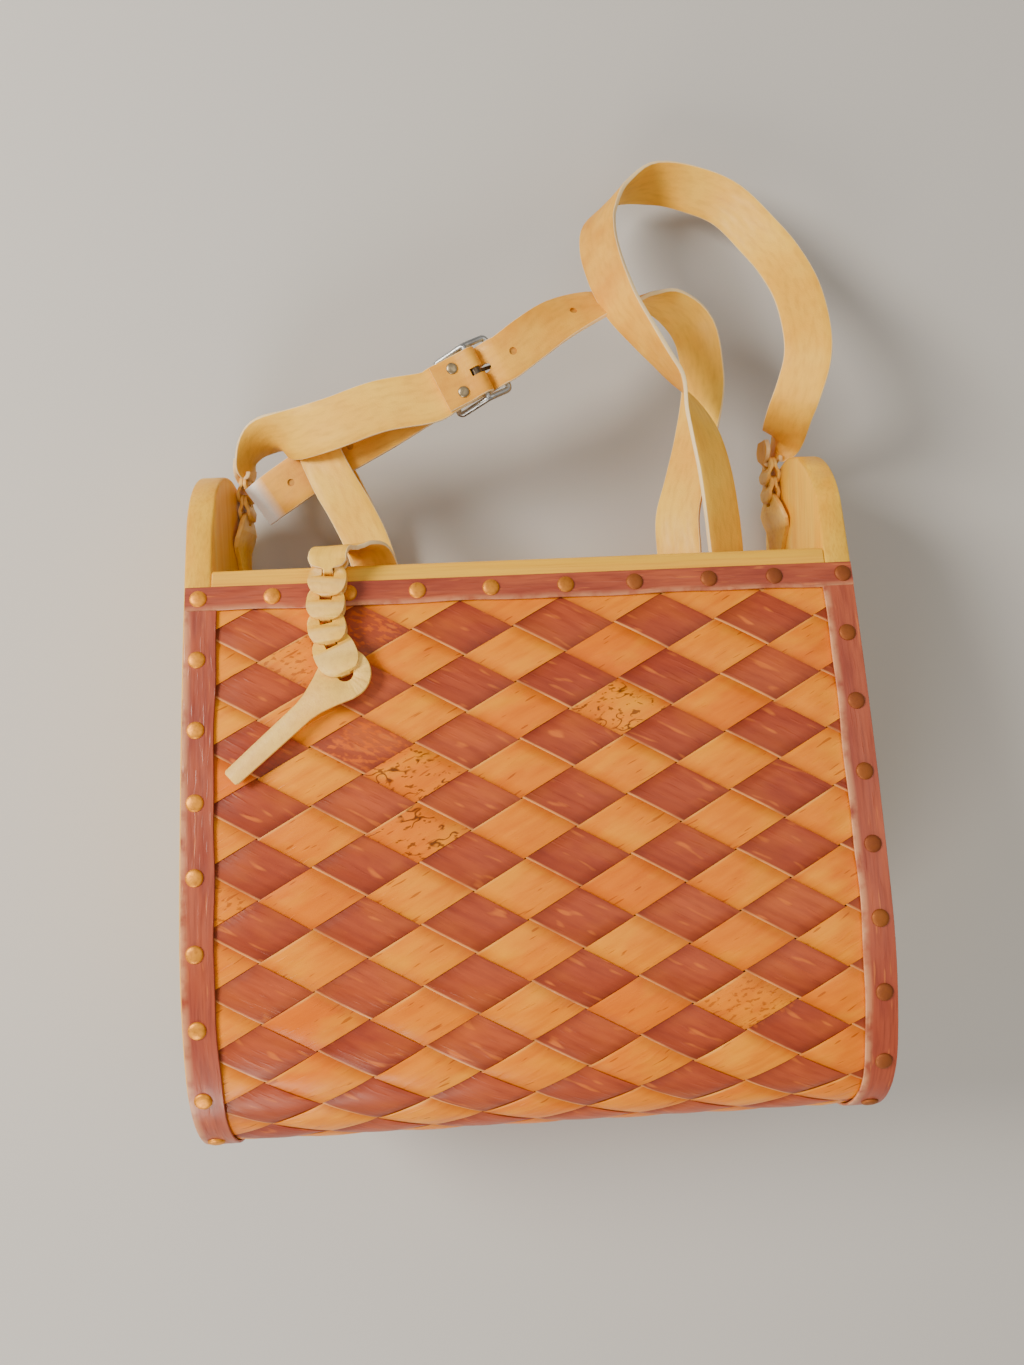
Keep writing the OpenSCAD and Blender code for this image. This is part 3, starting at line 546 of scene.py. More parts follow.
def band_section(width):
    """A band's section: across from its middle, and its depth below the wall's outer line."""
    half = width / 2
    side = np.array([-half, -half + 0.25, -half * 0.5, 0, half * 0.5, half - 0.25, half,
                     half, half - 0.2, 0, -half + 0.2, -half])
    depth = np.array([0.35, 0.06, 0.0, 0.02, 0.0, 0.06, 0.35, 0.95, 1.2, 1.2, 1.2, 0.95])
    return side, depth


def top_band(front):
    """The band along the mouth's front edge, or along its back edge."""
    side, depth = band_section(top_band_width)
    x = np.linspace(-bark_edge, bark_edge, 120)[:, None]
    middle, inwards = (top_band_middle, 1) if front else (back_end - top_band_middle, -1)
    waver = 0.25 * np.sin(x / 17) + 0.2 * np.sin(x / 7.3 + 2)
    down = middle + inwards * (side + np.where(side > 0, waver, 0))
    return outwards(ribbon_mesh("band", on_wall(x, down, depth), x / 1000 + (0 if front else 2),
                                side / 1000, {"rim": (side > 5) * 0.6 * (depth < 1)}))


def side_band(outer):
    """The band round the left gable (-1) or the right one (1)."""
    side, depth = band_section(side_band_width)
    down = np.linspace(side_band_top, back_end - side_band_top, 200)[:, None]
    waver = 0.25 * np.sin(down / 15 + outer) + 0.2 * np.sin(down / 6.7)
    x = outer * (bark_edge - side_band_width / 2 - side - np.where(side > 0, waver, 0))
    # Pale along the right band's inner edge and the left band's outer one
    pale_edge = (side > 6.3) if outer > 0 else (side < -6.3)
    return outwards(ribbon_mesh("band", on_wall(x, down, depth), down / 1000 + 4 + outer,
                                side / 1000, {"rim": pale_edge * 1.0 * (depth < 1)}))


def band_colour(tree):
    at = strip_place(tree)
    bark = painted(tree, fibres(tree, at, (22, 90, 1), 0.35, 0.7), tint(150, 66, 50), tint(180, 88, 58))
    bark = coated(tree, bark, fibres(tree, at, (60, 700, 1), 0.45, 0.75), 0.5, tint(104, 38, 30))
    pores = fibres(tree, at, (60, 600, 1), 0.67, 0.73, 1.0, (4, 4, 0))
    bark = coated(tree, bark, pores, 0.6, tint(206, 112, 60))
    ragged = scaled(tree, mark(tree, "rim"), fibres(tree, at, (120, 120, 1), 0.3, 0.55))
    return coated(tree, bark, ragged, 0.75, tint(236, 172, 124))


band_bark = new_finish("band_bark", band_colour, bark_gloss, bark_relief, 0.00012)
for band, mesh in (("front_top_band", top_band(True)), ("back_top_band", top_band(False)),
                   ("left_side_band", side_band(-1)), ("right_side_band", side_band(1))):
    one_piece(band + "_cut", [mesh], band_bark, "bag", "bark_band", band)

# ---- The tacks ----
# Domed brass upholstery tacks through band and bark into the boards, one after the other by
# eye. Those on the left are painted bright and those on the right darker, a painted shade
# away from the window on the left.


def tack_head(width, rise):
    """One tack's head at the origin, pointing up, drawn in from its rim to its crown."""
    bpy.ops.object.select_all(action="DESELECT")
    bpy.ops.mesh.primitive_circle_add(vertices=20, radius=width / 2, fill_type="NGON")
    head = bpy.context.object
    bpy.ops.object.mode_set(mode="EDIT")
    reach, height = 1.0, 0.0
    for next_reach, next_height in ((1.0, 0.12), (0.96, 0.38), (0.84, 0.66), (0.62, 0.86),
                                    (0.34, 0.97), (0.1, 1.0)):
        lift = (0, 0, (next_height - height) * rise)
        bpy.ops.mesh.extrude_region_move(TRANSFORM_OT_translate={"value": lift})
        bpy.ops.transform.resize(value=(next_reach / reach, next_reach / reach, 1))
        reach, height = next_reach, next_height
    bpy.ops.object.mode_set(mode="OBJECT")
    mesh = head.data.copy()
    bpy.data.objects.remove(head)
    return outwards(mesh)


def set_tack(pattern, place, out, tone):
    """A copy of the tack at place, in metres, with its head towards out."""
    mesh = pattern.copy()
    lean = Vector((random.uniform(-0.05, 0.05), random.uniform(-0.05, 0.05), 1)).to_track_quat("Z", "Y")
    turn = Vector(out).to_track_quat("Z", "Y") @ lean
    mesh.transform(Matrix.Translation(place) @ turn.to_matrix().to_4x4())
    kept = mesh.attributes.new("tone", "FLOAT", "POINT")
    kept.data.foreach_set("value", [tone] * len(mesh.vertices))
    return mesh


def wall_out(down):
    """The direction out of the wall at a place down it."""
    return Vector(on_wall(0, down, 0) - on_wall(0, down, 1)).normalized()


def tack_colour(tree):
    at = bag_place(tree)
    # Bright brass on the left and a painted shade towards the right, by each tack's tone; the tarnish is
    # real
    brass = painted(tree, mark(tree, "tone"), tint(240, 158, 44), tint(140, 76, 46))
    tarnish = fibres(tree, at, (500, 500, 500), 0.45, 0.7)
    return coated(tree, brass, tarnish, 0.45, tint(156, 88, 38))


def tack_gloss(tree):
    wear = fibres(tree, bag_place(tree), (600, 600, 600), 0.3, 0.7)
    return added(tree, scaled(tree, mark(tree, "tone"), 0.15), between(tree, wear, 0.4, 0.55))


def tack_relief(tree):
    return fibres(tree, bag_place(tree), (700, 700, 700), 0.2, 0.8)


worn_and_shaded_brass = new_finish("worn_and_shaded_brass", tack_colour, tack_gloss, tack_relief, 0.00005)
shader_inputs(worn_and_shaded_brass)["Metallic"].default_value = 0.6
tack = tack_head(0.0076, 0.0013)
small_tack = tack_head(0.0066, 0.0012)
tack_row = 142.6   # the side rows, from the bag's middle
side_first, side_step = 42.3, 30.9
top_misses = [0, 0.5, 2.3, 0.9, 1.8, 3.4, 2.5, 4.2, 2.1, 1.6]   # how far each one sits off its place
top_places = [-tack_row + 2 * tack_row / 9 * i + miss for i, miss in enumerate(top_misses)]
side_places = [side_first + side_step * i for i in range(17)]
tab_face, tab_tack_z, strap_tack_z = 0.1358, 0.028, 0.0157   # in metres


# How much painted shade a tack gets: none on the left, more towards the right, and a little at random
def shade_to_the_right(x):
    return min(1, max(0, (x + 60) / 120)) * 0.85 + random.uniform(0, 0.15)


def wall_tack(x, down):
    return set_tack(tack, on_wall(x, down, 0), wall_out(down), shade_to_the_right(x))


for row, down in (("front_top_tacks", top_band_middle), ("back_top_tacks", back_end - top_band_middle)):
    one_piece(row + "_set", [wall_tack(x, down) for x in top_places], worn_and_shaded_brass, "bag", "tacks", row)
for row, x in (("left_side_tacks", -tack_row), ("right_side_tacks", tack_row)):
    one_piece(row + "_set", [wall_tack(x, down) for down in side_places], worn_and_shaded_brass, "bag", "tacks", row)
one_piece("strap_tab_tacks_set",
          [set_tack(small_tack, (side * tab_face, (y + mouth_y) / 1000, tab_tack_z), (-side, 0, 0), 0.5)
           for side in (-1, 1) for y in (-26, -11)], worn_and_shaded_brass, "bag", "tacks", "strap_tab_tacks")
one_piece("closing_strap_tacks_set",
          [set_tack(small_tack, (x / 1000, (y + mouth_y) / 1000, strap_tack_z), (0, 0, 1), 0.5)
           for x in (-79, -67) for y in (-16, -7)], worn_and_shaded_brass, "bag", "tacks", "closing_strap_tacks")

# ---- The leather tabs and links on the gables ----
# A leather tab is tacked inside each gable, and two lapped leather links hang the
# shoulder strap's end from it. All cut from vegetable tanned hide.


def hide_colour(tree):
    at = bag_place(tree)
    hide = painted(tree, fibres(tree, at, (45, 45, 45), 0.35, 0.7), tint(252, 200, 72), tint(244, 176, 46))
    hide = coated(tree, hide, fibres(tree, at, (420, 420, 420), 0.45, 0.75), 0.35, tint(196, 122, 44))
    edge = above(tree, node(tree, "NewGeometry").outputs["Pointiness"], 0.52, 0.58)
    return coated(tree, hide, edge, 0.6, tint(252, 222, 158))


def hide_gloss(tree):
    return between(tree, fibres(tree, bag_place(tree), (160, 160, 160), 0.3, 0.7), 0.42, 0.6)


def hide_relief(tree):
    at = bag_place(tree)
    pores = node(tree, "TexVoronoi", Vector=at, Scale=1400.0).outputs["Distance"]
    creases = fibres(tree, at, (300, 300, 300), 0.3, 0.7)
    return added(tree, scaled(tree, pores, 0.5), scaled(tree, creases, 0.5))


link_leather = new_finish("link_leather", hide_colour, hide_gloss, hide_relief, 0.00012)
for piece_name in ("left_strap_tab", "right_strap_tab", "left_strap_link_1", "left_strap_link_2",
                   "right_strap_link_1", "right_strap_link_2"):
    eased(piece_name, "bag", link_leather, 0.0003)

# ---- The buckle strap and the buckle ----
# A short strap from the left gable's links to the buckle, folded round its middle bar
# and riveted. The buckle is a frame of bent steel rod with a loose prong, nickel plated
# and worn. The straps' rows are in mm: place, direction across the strap, half its width.


def curve_through(rows, steps):
    """A smooth run of rows through the given rows, steps to each."""
    rows = np.array(rows, float)
    run = []
    for i in range(len(rows) - 1):
        a, b, c, d = rows[max(i - 1, 0)], rows[i], rows[i + 1], rows[min(i + 2, len(rows) - 1)]
        for k in range(steps):
            t = k / steps
            run.append(0.5 * (2 * b + (c - a) * t + (2 * a - 5 * b + 4 * c - d) * t * t
                              + (3 * b - a - 3 * c + d) * t * t * t))
    return np.array(run + [rows[-1]])


def strap_frames(run):
    """For each row: its place in metres, and the directions across, out and along."""
    spots = run[:, :3]
    along = np.gradient(spots, axis=0)
    along /= np.linalg.norm(along, axis=1, keepdims=True)
    across = run[:, 3:6] - (run[:, 3:6] * along).sum(1, keepdims=True) * along
    across /= np.linalg.norm(across, axis=1, keepdims=True)
    return (spots + [0, mouth_y, 0]) / 1000, across, np.cross(along, across), along


# A strap's section: share of the half width, inset from the edge, and height, in mm
strap_section = np.array([
    [-1, 0.5, -1.1], [-0.6, 0, -1.1], [0, 0, -1.1], [0.6, 0, -1.1], [1, -0.5, -1.1],
    [1, -0.12, -0.88], [1, 0, -0.45], [1, 0, 0.45], [1, -0.12, 0.88],
    [1, -0.5, 1.1], [0.6, 0, 1.1], [0, 0, 1.12], [-0.6, 0, 1.1], [-1, 0.5, 1.1],
    [-1, 0.12, 0.88], [-1, 0, 0.45], [-1, 0, -0.45], [-1, 0.12, -0.88]])


def strap_mesh(rows, steps=6, tip=0.0001):
    """A strap through rows. Its first end is painted white, a painted reflection, for as far as tip, in
    metres.
    """
    run = curve_through(rows, steps)
    spots, across, out, along = strap_frames(run)
    lengths = np.concatenate([[0], np.cumsum(np.linalg.norm(np.diff(spots, axis=0), axis=1))])
    side = strap_section[None, :, 0] * run[:, 6:7] + strap_section[None, :, 1]
    rise = strap_section[:, 2]
    rings = (spots[:, None] + across[:, None] * side[..., None] / 1000
             + out[:, None] * rise[None, :, None] / 1000)
    return outwards(ribbon_mesh("strap", rings, lengths, side / 1000 + (rise > 0) * 0.05,
                                {"grain_side": rise > 0, "rim": (np.abs(rise) < 0.9) * 1.0,
                                 "tip": np.clip(2 - lengths[:, None] / tip, 0, 1)}))


def strap_colour(tree):
    at, world = strip_place(tree), bag_place(tree)
    smooth = painted(tree, fibres(tree, world, (28, 28, 28), 0.35, 0.7),
                     tint(255, 202, 70), tint(247, 178, 46))
    rough = painted(tree, fibres(tree, world, (60, 60, 60), 0.35, 0.7),
                    tint(246, 182, 58), tint(230, 156, 36))
    hide = painted(tree, mark(tree, "grain_side"), rough, smooth)
    hide = coated(tree, hide, fibres(tree, at, (120, 420, 1), 0.45, 0.75), 0.3, tint(190, 118, 42))
    hide = coated(tree, hide, mark(tree, "rim"), 0.75, tint(254, 234, 186))
    # The walls of the punched holes and the slot painted dark, a painted shade inside them
    hide = coated(tree, hide, mark(tree, "cut"), 0.55, tint(150, 84, 30))
    # The first end painted white, a painted reflection of the window
    return painted(tree, mark(tree, "tip"), hide, tint(255, 255, 255))


def strap_gloss(tree):
    return between(tree, fibres(tree, strip_place(tree), (90, 300, 1), 0.3, 0.7), 0.45, 0.65)


strap_leather = new_finish("strap_leather", strap_colour, strap_gloss, hide_relief, 0.0001)


def strap_fold(x):
    """A strap's end through the upper link's slot at x, from its short lobe to its long side."""
    y, z = 46, 28
    return [[x - 3, y + 12, z, 0, 0, 1, 6.5], [x - 3, y + 8, z, 0, 0, 1, 9.2],
            [x - 3, y + 5, z, 0, 0, 1, 8.8], [x - 3, y + 2.6, z, 0, 0, 1, 6.4],
            [x - 2.8, y + 1, z, 0, 0, 1, 2.3], [x - 1.7, y, z, 0, 0, 1, 2.2],
            [x, y - 0.3, z, 0, 0, 1, 2.2], [x + 1.7, y, z, 0, 0, 1, 2.2],
            [x + 2.8, y + 1, z, 0, 0, 1, 2.3], [x + 3, y + 2.6, z + 0.2, 0, 0, 1, 6.4],
            [x + 3.1, y + 5, z + 0.6, 0, 0, 1, 9], [x + 3.6, y + 8, z + 2, 0.05, 0, 1, 10.2]]


link_x = 134.3   # the gables' links, from the bag's middle
buckle_turn = math.radians(25)
buckle_x, buckle_y, buckle_z = -16, 88, 70   # the middle of the buckle's middle bar
buckle_place = (Matrix.Translation((buckle_x / 1000, (buckle_y + mouth_y) / 1000, buckle_z / 1000))
                @ Matrix.Rotation(buckle_turn, 4, "Z"))


def at_buckle(x, z, half, flip=1):
    """A strap's row at the buckle: x along it from its middle bar and z above it."""
    return [buckle_x + x * math.cos(buckle_turn), buckle_y + x * math.sin(buckle_turn), buckle_z + z,
            -math.sin(buckle_turn) * flip, math.cos(buckle_turn) * flip, 0, half]


def cut_through(piece, cutters):
    """Cuts the cutters' shapes out of the piece, removes them, and marks the cut edges."""
    for cutter in cutters:
        shape = [v.co.copy() for v in cutter.data.vertices]
        cut = piece.modifiers.new("cut", "BOOLEAN")
        cut.operation = "DIFFERENCE"
        cut.solver = "EXACT"
        cut.object = cutter
        bpy.ops.object.select_all(action="DESELECT")
        bpy.context.view_layer.objects.active = piece
        piece.select_set(True)
        bpy.ops.object.modifier_apply(modifier="cut")
        bpy.data.objects.remove(cutter)
        near = [v.index for v in piece.data.vertices
                if any((v.co - place).length < 0.0003 for place in shape)]
        for key, value in (("rim", 0), ("tip", 0), ("cut", 1)):
            marks = piece.data.attributes.get(key) or piece.data.attributes.new(key, "FLOAT", "POINT")
            for index in near:
                marks.data[index].value = value


def punch(place, across, out, along, width, stretch=0.0, lift=0.0):
    """A round punch through a strap, as a cutter. Moved by lift it stops in the leather."""
    bpy.ops.object.select_all(action="DESELECT")
    bpy.ops.mesh.primitive_cylinder_add(vertices=20, radius=width / 2, depth=0.01)
    tool = bpy.context.object
    bpy.ops.object.mode_set(mode="EDIT")
    bpy.ops.mesh.select_all(action="SELECT")
    bpy.ops.transform.resize(value=(1 + stretch / width, 1, 1))
    bpy.ops.object.mode_set(mode="OBJECT")
    tool.data.transform(Matrix([[along[i], across[i], out[i], place[i] + out[i] * lift]
                                for i in range(3)] + [[0, 0, 0, 1]]))
    return tool


buckle_rows = strap_fold(-link_x) + [
    [-126.5, 58.5, 38, -0.35, 0, 0.94, 11.6], [-117, 64.3, 51.3, -0.45, 0.55, 0.7, 12],
    [-104, 64, 58.8, -0.35, 0.9, 0.25, 12], [-85.5, 67.3, 65, -0.25, 0.96, 0.05, 12],
    [-62, 74, 68, -0.3, 0.95, 0, 12], at_buckle(-26, -1.4, 12), at_buckle(-18, -1.4, 12),
    at_buckle(-8, -1.5, 11.4), at_buckle(-3.5, -2.3, 11.2), at_buckle(0, -2.8, 11.2),
    at_buckle(2.1, -1.9, 11.2), at_buckle(2.9, 0, 11.2), at_buckle(2.1, 1.9, 11.2),
    at_buckle(0, 2.8, 11.2), at_buckle(-3.5, 2.1, 11.2), at_buckle(-8, 1.2, 11.4),
    at_buckle(-19, 1.2, 11.4)]
buckle_strap = one_piece("buckle_strap_leather", [strap_mesh(buckle_rows)], strap_leather,
                         "bag", "strap_leather", "buckle_strap")
# The slot in the fold that lets the prong out
bpy.ops.object.select_all(action="DESELECT")
bpy.ops.mesh.primitive_cube_add(size=1)
slot_tool = bpy.context.object
slot_size = Matrix.Diagonal((0.0072, 0.0036, 0.009, 1))
slot_tool.data.transform(buckle_place @ Matrix.Translation((0.001, 0, 0)) @ slot_size)
cut_through(buckle_strap, [slot_tool])


def plate_colour(tree):
    at = bag_place(tree)
    nickel = painted(tree, fibres(tree, at, (120, 120, 120), 0.35, 0.7),
                     tint(184, 188, 192), tint(160, 162, 164))
    return coated(tree, nickel, fibres(tree, at, (500, 500, 500), 0.6, 0.8), 0.5, tint(150, 122, 84))


# The prong's steel is painted dark, a painted shade, as it sits in the dark of the slot in the fold
def prong_colour(tree):
    spots = fibres(tree, bag_place(tree), (400, 400, 400), 0.35, 0.7)
    return painted(tree, spots, tint(108, 98, 86), tint(78, 66, 54))


def rivet_colour(tree):
    spots = fibres(tree, bag_place(tree), (500, 500, 500), 0.35, 0.7)
    return painted(tree, spots, tint(176, 160, 128), tint(132, 118, 96))


def plate_gloss(tree):
    return between(tree, fibres(tree, bag_place(tree), (500, 500, 500), 0.3, 0.7), 0.28, 0.42)


def worn_metal(name, colour, metallic):
    finish = new_finish(name, colour, plate_gloss, tack_relief, 0.00002)
    shader_inputs(finish)["Metallic"].default_value = metallic
    return finish


# The buckle's three bars, as x along the strap and z above the middle one, in mm
bars = [(-15, -7.7), (0, 0), (11.2, -3.5)]
leg_side, rod_radius, rod_bend = 13.4, 1.5, 2.2


def add_rod(line, places, closed):
    """Adds a rod through places, in mm, to the line."""
    rod = line.splines.new("POLY")
    rod.points.add(len(places) - 1)
    for point, place in zip(rod.points, places):
        point.co = (*(place / 1000), 1)
    rod.use_cyclic_u = closed


def rounded_off(corners):
    """A closed run of places, in which each corner is a short curve."""
    run = []
    for i, corner in enumerate(corners):
        before = (corners[i - 1] - corner).normalized() * rod_bend
        after = (corners[(i + 1) % len(corners)] - corner).normalized() * rod_bend
        run += [corner + before * (1 - t) ** 2 + after * t ** 2 for t in (0, 0.2, 0.4, 0.6, 0.8, 1)]
    return run


frame_line = bpy.data.curves.new("buckle_frame_rod", "CURVE")
frame_line.dimensions = "3D"
frame_line.bevel_depth = rod_radius / 1000
frame_line.bevel_resolution = 6
frame_line.use_fill_caps = True
near_side = [Vector((x, -leg_side, z)) for x, z in bars]
far_side = [Vector((x, leg_side, z)) for x, z in bars]
add_rod(frame_line, rounded_off(near_side + far_side[::-1]), True)
add_rod(frame_line, [near_side[1], far_side[1]], False)
buckle_frame = bpy.data.objects.new("buckle_frame_rod", frame_line)
bpy.context.collection.objects.link(buckle_frame)
bpy.ops.object.select_all(action="DESELECT")
bpy.context.view_layer.objects.active = buckle_frame
buckle_frame.select_set(True)
bpy.ops.object.convert(target="MESH")
buckle_frame = bpy.context.object
# The middle bar is welded to the legs, and the joints are filed smooth
weld = buckle_frame.modifiers.new("weld", "REMESH")
weld.mode = "VOXEL"
weld.voxel_size = 0.00025
bpy.ops.object.modifier_apply(modifier="weld")
filing = buckle_frame.modifiers.new("filing", "SMOOTH")
filing.factor = 0.5
filing.iterations = 6
bpy.ops.object.modifier_apply(modifier="filing")
bpy.ops.object.shade_smooth()
buckle_frame.data.transform(buckle_place)
buckle_frame.data.materials.clear()
buckle_frame.data.materials.append(worn_metal("worn_nickel", plate_colour, 0.95))
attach(buckle_frame, "bag")
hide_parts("buckle_frame")
shade_dark_steel = worn_metal("shade_dark_steel", prong_colour, 0.9)
worn_rivet = worn_metal("worn_rivet", rivet_colour, 0.8)
eased("buckle_prong", "buckle_prong", shade_dark_steel, 0.0001, turn=45)
eased("buckle_rivets", "bag", worn_rivet, 0.0001, turn=45)

# ---- The shoulder strap ----
# One long strap of tan hide. Its free end comes from under the buckle strap, it runs
# through the buckle, drops into the mouth, turns back and stands in a loop to the
# right gable, where its end is folded through the upper link.
shoulder_rows = [
    [-126, 32.2, 42, 0.5, -0.85, 0, 10.6], [-114.5, 39.7, 44, 0.5, -0.85, 0, 11],
    [-95.3, 51.2, 46.5, 0.45, -0.89, 0, 11], [-78, 59, 51.5, 0.42, -0.9, 0, 11],
    [-60, 67, 58, 0.4, -0.92, 0, 11], [-43, 75.5, 63.5, 0.42, -0.9, 0, 11],
    at_buckle(-21, -4.9, 11, -1), at_buckle(-13, -4.9, 11, -1), at_buckle(-4, -5, 11, -1),
    at_buckle(2, -4.8, 11, -1), at_buckle(6.5, -2.6, 11, -1), at_buckle(11.2, -0.7, 11, -1),
    at_buckle(16, -0.2, 11, -1),
    [10, 103, 69, 0.48, -0.87, 0, 11], [25, 113, 65, 0.53, -0.8, 0.26, 11],
    [45, 122.5, 56, 0.21, -0.67, 0.71, 11], [58, 125.5, 48, 0.07, -0.34, 0.94, 11],
    [71, 127.5, 42, 0.05, 0.02, 1, 11], [84, 123.5, 40, 0.38, 0.43, 0.82, 11],
    [94, 111, 42, 0.85, 0.18, 0.5, 11], [96.5, 91, 46, 0.9, 0, 0.44, 10.6],
    [95, 76, 50, 0.88, -0.1, 0.46, 10.6], [89.5, 55.5, 56, 0.8, -0.1, 0.6, 10.8],
    [83, 35.5, 62, 0.78, -0.05, 0.62, 11], [77.5, 18, 67, 0.84, 0, 0.54, 11],
    [77, 2, 70, 0.84, 0, 0.54, 11],
    # Inside the bag
    [77.5, -12, 71, 0.78, 0, 0.62, 11], [79, -26, 72, 0.5, 0, 0.86, 11],
    [80, -40, 73, 0, 0, 1, 11], [80.5, -50, 73, 0, 0, 1, 11], [83.5, -57, 73, 0, 0, 1, 11],
    [90, -60, 73, 0, 0, 1, 11], [96.5, -57, 73, 0, 0, 1, 11], [99.5, -50, 73, 0, 0, 1, 11],
    [100, -40, 73, 0, 0, 1, 11], [100, -26, 74, -0.5, 0, 0.86, 11],
    [99, -12, 75.5, -0.78, 0, 0.62, 11],
    # The standing loop
    [98, 2, 76, -0.84, 0, 0.54, 11], [96.5, 19, 76, -0.84, 0, 0.54, 11],
    [94, 37.5, 76, -0.8, -0.15, 0.58, 11], [90, 54, 76, -0.7, -0.25, 0.67, 11],
    [84, 68, 76.5, -0.43, -0.25, 0.87, 11], [77.5, 79.5, 78, -0.05, 0, 1, 11],
    [70, 89, 80, 0.1, 0.08, 0.99, 11], [62.5, 100, 79, 0.24, 0.18, 0.95, 11],
    [54.5, 114, 74, 0.42, 0.22, 0.88, 11], [50.5, 126.5, 66, 0.52, 0.17, 0.84, 11],
    [48, 140, 56, 0.6, 0.1, 0.79, 11], [47, 156, 45, 0.64, 0, 0.77, 11],
    [50, 171, 35, 0.48, -0.12, 0.87, 11], [62, 186, 26, 0, 0, 1, 11],
    [81, 192, 22, -0.05, 0.68, 0.73, 11], [100.5, 187, 24, 0.32, 0.8, 0.5, 11],
    [116.5, 177.5, 28, 0.52, 0.7, 0.48, 11], [130, 158.5, 36, 0.73, 0.53, 0.43, 11],
    [137, 143.5, 45, 0.84, 0.38, 0.38, 11], [141, 124.5, 58, 0.92, 0.15, 0.36, 11],
    [142, 104, 68, 0.93, 0, 0.36, 11], [141, 89, 71, 0.93, 0, 0.36, 11],
    [138, 75, 66, 0.85, 0, 0.52, 11], [136.6, 67, 57.5, 0.8, 0, 0.6, 11],
    [137, 61.5, 48, 0.7, 0, 0.7, 11], [138, 58.3, 40, 0.45, 0, 0.9, 10.8],
    [138.2, 56.3, 34, 0.2, 0, 0.98, 10.6]] + strap_fold(link_x)[::-1]
shoulder_strap = one_piece("shoulder_strap_leather", [strap_mesh(shoulder_rows, 5, 0.0045)],
                           strap_leather, "bag", "strap_leather", "shoulder_strap")
# Unused holes, by their row, pressed half way into the strap's upper side
spots, across, out, along = strap_frames(curve_through(shoulder_rows, 3))
punches = [punch(spots[i], across[i], out[i], along[i], 0.0036, lift=-0.0053)
           for i in (round(3 * row) for row in (1.33, 3, 4.67, 12.4, 14.33, 15.67))]
# The hole in use, worn long and leaning with the prong
prong_hole = (buckle_place @ Matrix.Translation((0.0051, 0, -0.0032))
              @ Matrix.Rotation(math.radians(-20), 4, "Y"))
hole_along, hole_across, hole_out = prong_hole.col[:3]
punches.append(punch(prong_hole.translation, hole_across, hole_out, hole_along, 0.0042, stretch=0.0024))
cut_through(shoulder_strap, punches)

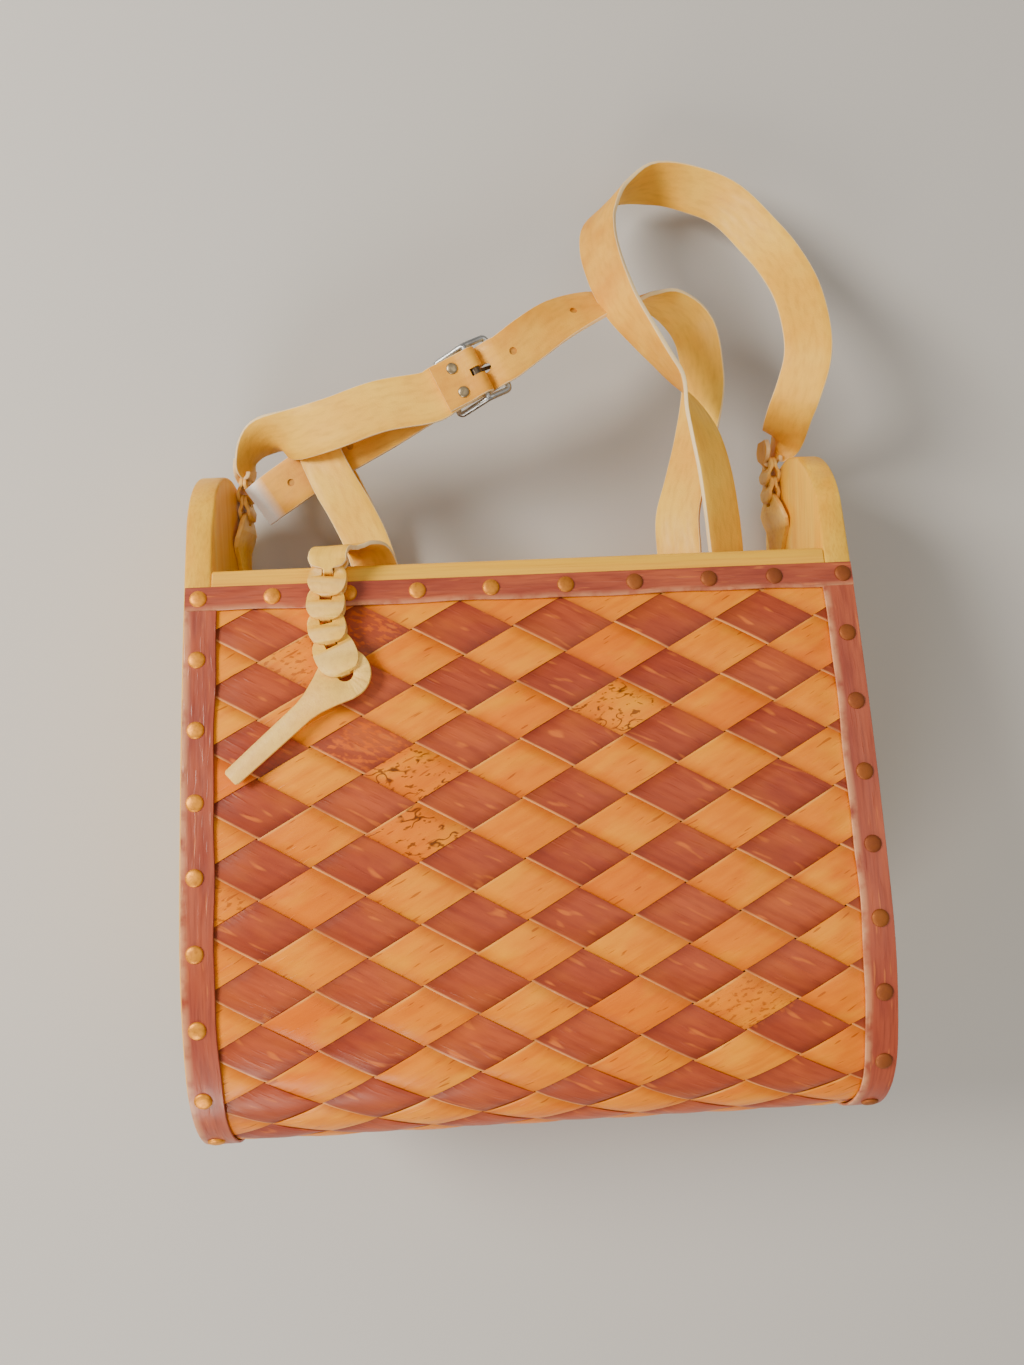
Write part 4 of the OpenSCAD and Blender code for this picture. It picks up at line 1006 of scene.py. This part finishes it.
# ---- The closing strap ----
# Tacked to the back rail, it comes over the shoulder strap's free end, dips behind the
# front rail and rises to hang over the front, narrowed there to pass the first link.
bark_and_band, rail_thick, strap_half, strap_gap = 3.2, 9, 1.1, 0.25
rail_top = tack_rise + bark_and_band + rail_thick + strap_half + strap_gap
closing_rows = [
    [-73, -21, rail_top, 1, 0, 0, 10.6], [-73, -10, rail_top, 1, 0, 0, 10.6],
    [-73.5, 1, rail_top, 1, 0.1, 0, 10.6], [-76, 15, rail_top + 1.5, 0.97, 0.22, 0, 10.6],
    [-81, 30, 19.5, 0.94, 0.34, 0, 10.6], [-87, 44, 27, 0.92, 0.39, 0, 10.6],
    [-92.5, 56, 36, 0.91, 0.41, 0, 10.6], [-95.5, 63.5, 43, 0.91, 0.41, 0, 10.6],
    [-96.5, 66.5, 48, 0.91, 0.41, 0.08, 10.6], [-95.5, 63.7, 52.3, 0.9, 0.4, 0.16, 10.6],
    [-91.5, 52.5, 53.3, 0.9, 0.38, 0.2, 10.6], [-86, 40.5, 56.5, 0.93, 0.36, 0.1, 10.6],
    [-79.3, 28.3, 61.5, 0.94, 0.34, 0, 10.6], [-72.5, 14.5, 68, 0.95, 0.3, 0, 10.6],
    [-68.5, 3, 71.5, 0.98, 0.2, 0, 10.6], [-66, -8, 73.5, 1, 0.1, 0, 10.6],
    [-65, -19, 74.5, 1, 0, 0, 10.6], [-65, -24.5, 75.6, 1, 0, 0, 10.6],
    [-65, -26.8, 78.4, 1, 0, 0, 10.6], [-65, -24.5, 81.2, 1, 0, 0, 10.6],
    [-65, -18, 82, 1, 0, 0, 10.6], [-65.5, -6, 81.2, 0.98, 0.2, 0, 10.2],
    [-67.7, 3.4, 83.4, 0.95, 0.2, 0.25, 9.8], [-72.4, 7.4, 87.6, 0.86, 0.05, 0.5, 9.2],
    [-76.6, 7.2, 91.3, 0.86, 0, 0.5, 8.6], [-79.4, 6.3, 94.6, 0.9, 0, 0.42, 8.3],
    [-81, 6.1, 97.7, 0.92, 0, 0.38, 8.3]]
one_piece("closing_strap_leather", [strap_mesh(closing_rows)], strap_leather,
          "bag", "strap_leather", "closing_strap")
# The closing chain's lower end, its length from the strap's fold down to there, and its slope
chain_x, chain_end_y, chain_end_z = -84.9, -46.62, 115.76
chain_length = 43.7
chain_slope = math.radians(15.3)


def chain_row(v, n, half):
    """A strap's row at v down the closing chain from its top and n out from its middle."""
    up = chain_length - v
    return [chain_x, chain_end_y + up * math.cos(chain_slope) + n * math.sin(chain_slope),
            chain_end_z - up * math.sin(chain_slope) + n * math.cos(chain_slope), 1, 0, 0, half]


front_rows = [
    [-81.25, 6.1, 98.3, 0.92, 0, 0.38, 8.3], [-82.4, 6.1, 100.7, 0.95, 0, 0.3, 8.3],
    [-83.3, 5.5, 102.8, 0.98, 0, 0.2, 8.3], [-84.1, 4.2, 104.5, 1, 0, 0.1, 8.3],
    [-84.7, 2.4, 105.6, 1, 0, 0, 8.3], chain_row(-4.5, 3.1, 8.3), chain_row(-2.2, 3, 6.6),
    chain_row(-0.8, 2.9, 2.3), chain_row(0.1, 1.7, 2.2), chain_row(0.4, 0, 2.2),
    chain_row(0.1, -1.7, 2.2), chain_row(-0.8, -2.9, 2.3), chain_row(-2.2, -3, 6.6),
    chain_row(-4.5, -3.1, 8.3), chain_row(-7, -3, 8.3), chain_row(-9.6, -3, 6.6)]
one_piece("closing_strap_front_leather", [strap_mesh(front_rows)], strap_leather,
          "closing_strap_end", "strap_leather", "closing_strap_front")

# ---- The closing chain and its tongue ----
# Four links of thin hide, each a leaf folded double through the slot of the one above,
# and the tongue, a thick cut piece that is pushed through a loop to close the bag.
for link in ("chain_link_1", "chain_link_2", "chain_link_3", "chain_link_4"):
    eased(link, link, link_leather, 0.0003)
eased("tongue", "tongue", link_leather, 0.0004, whole_faces=False)
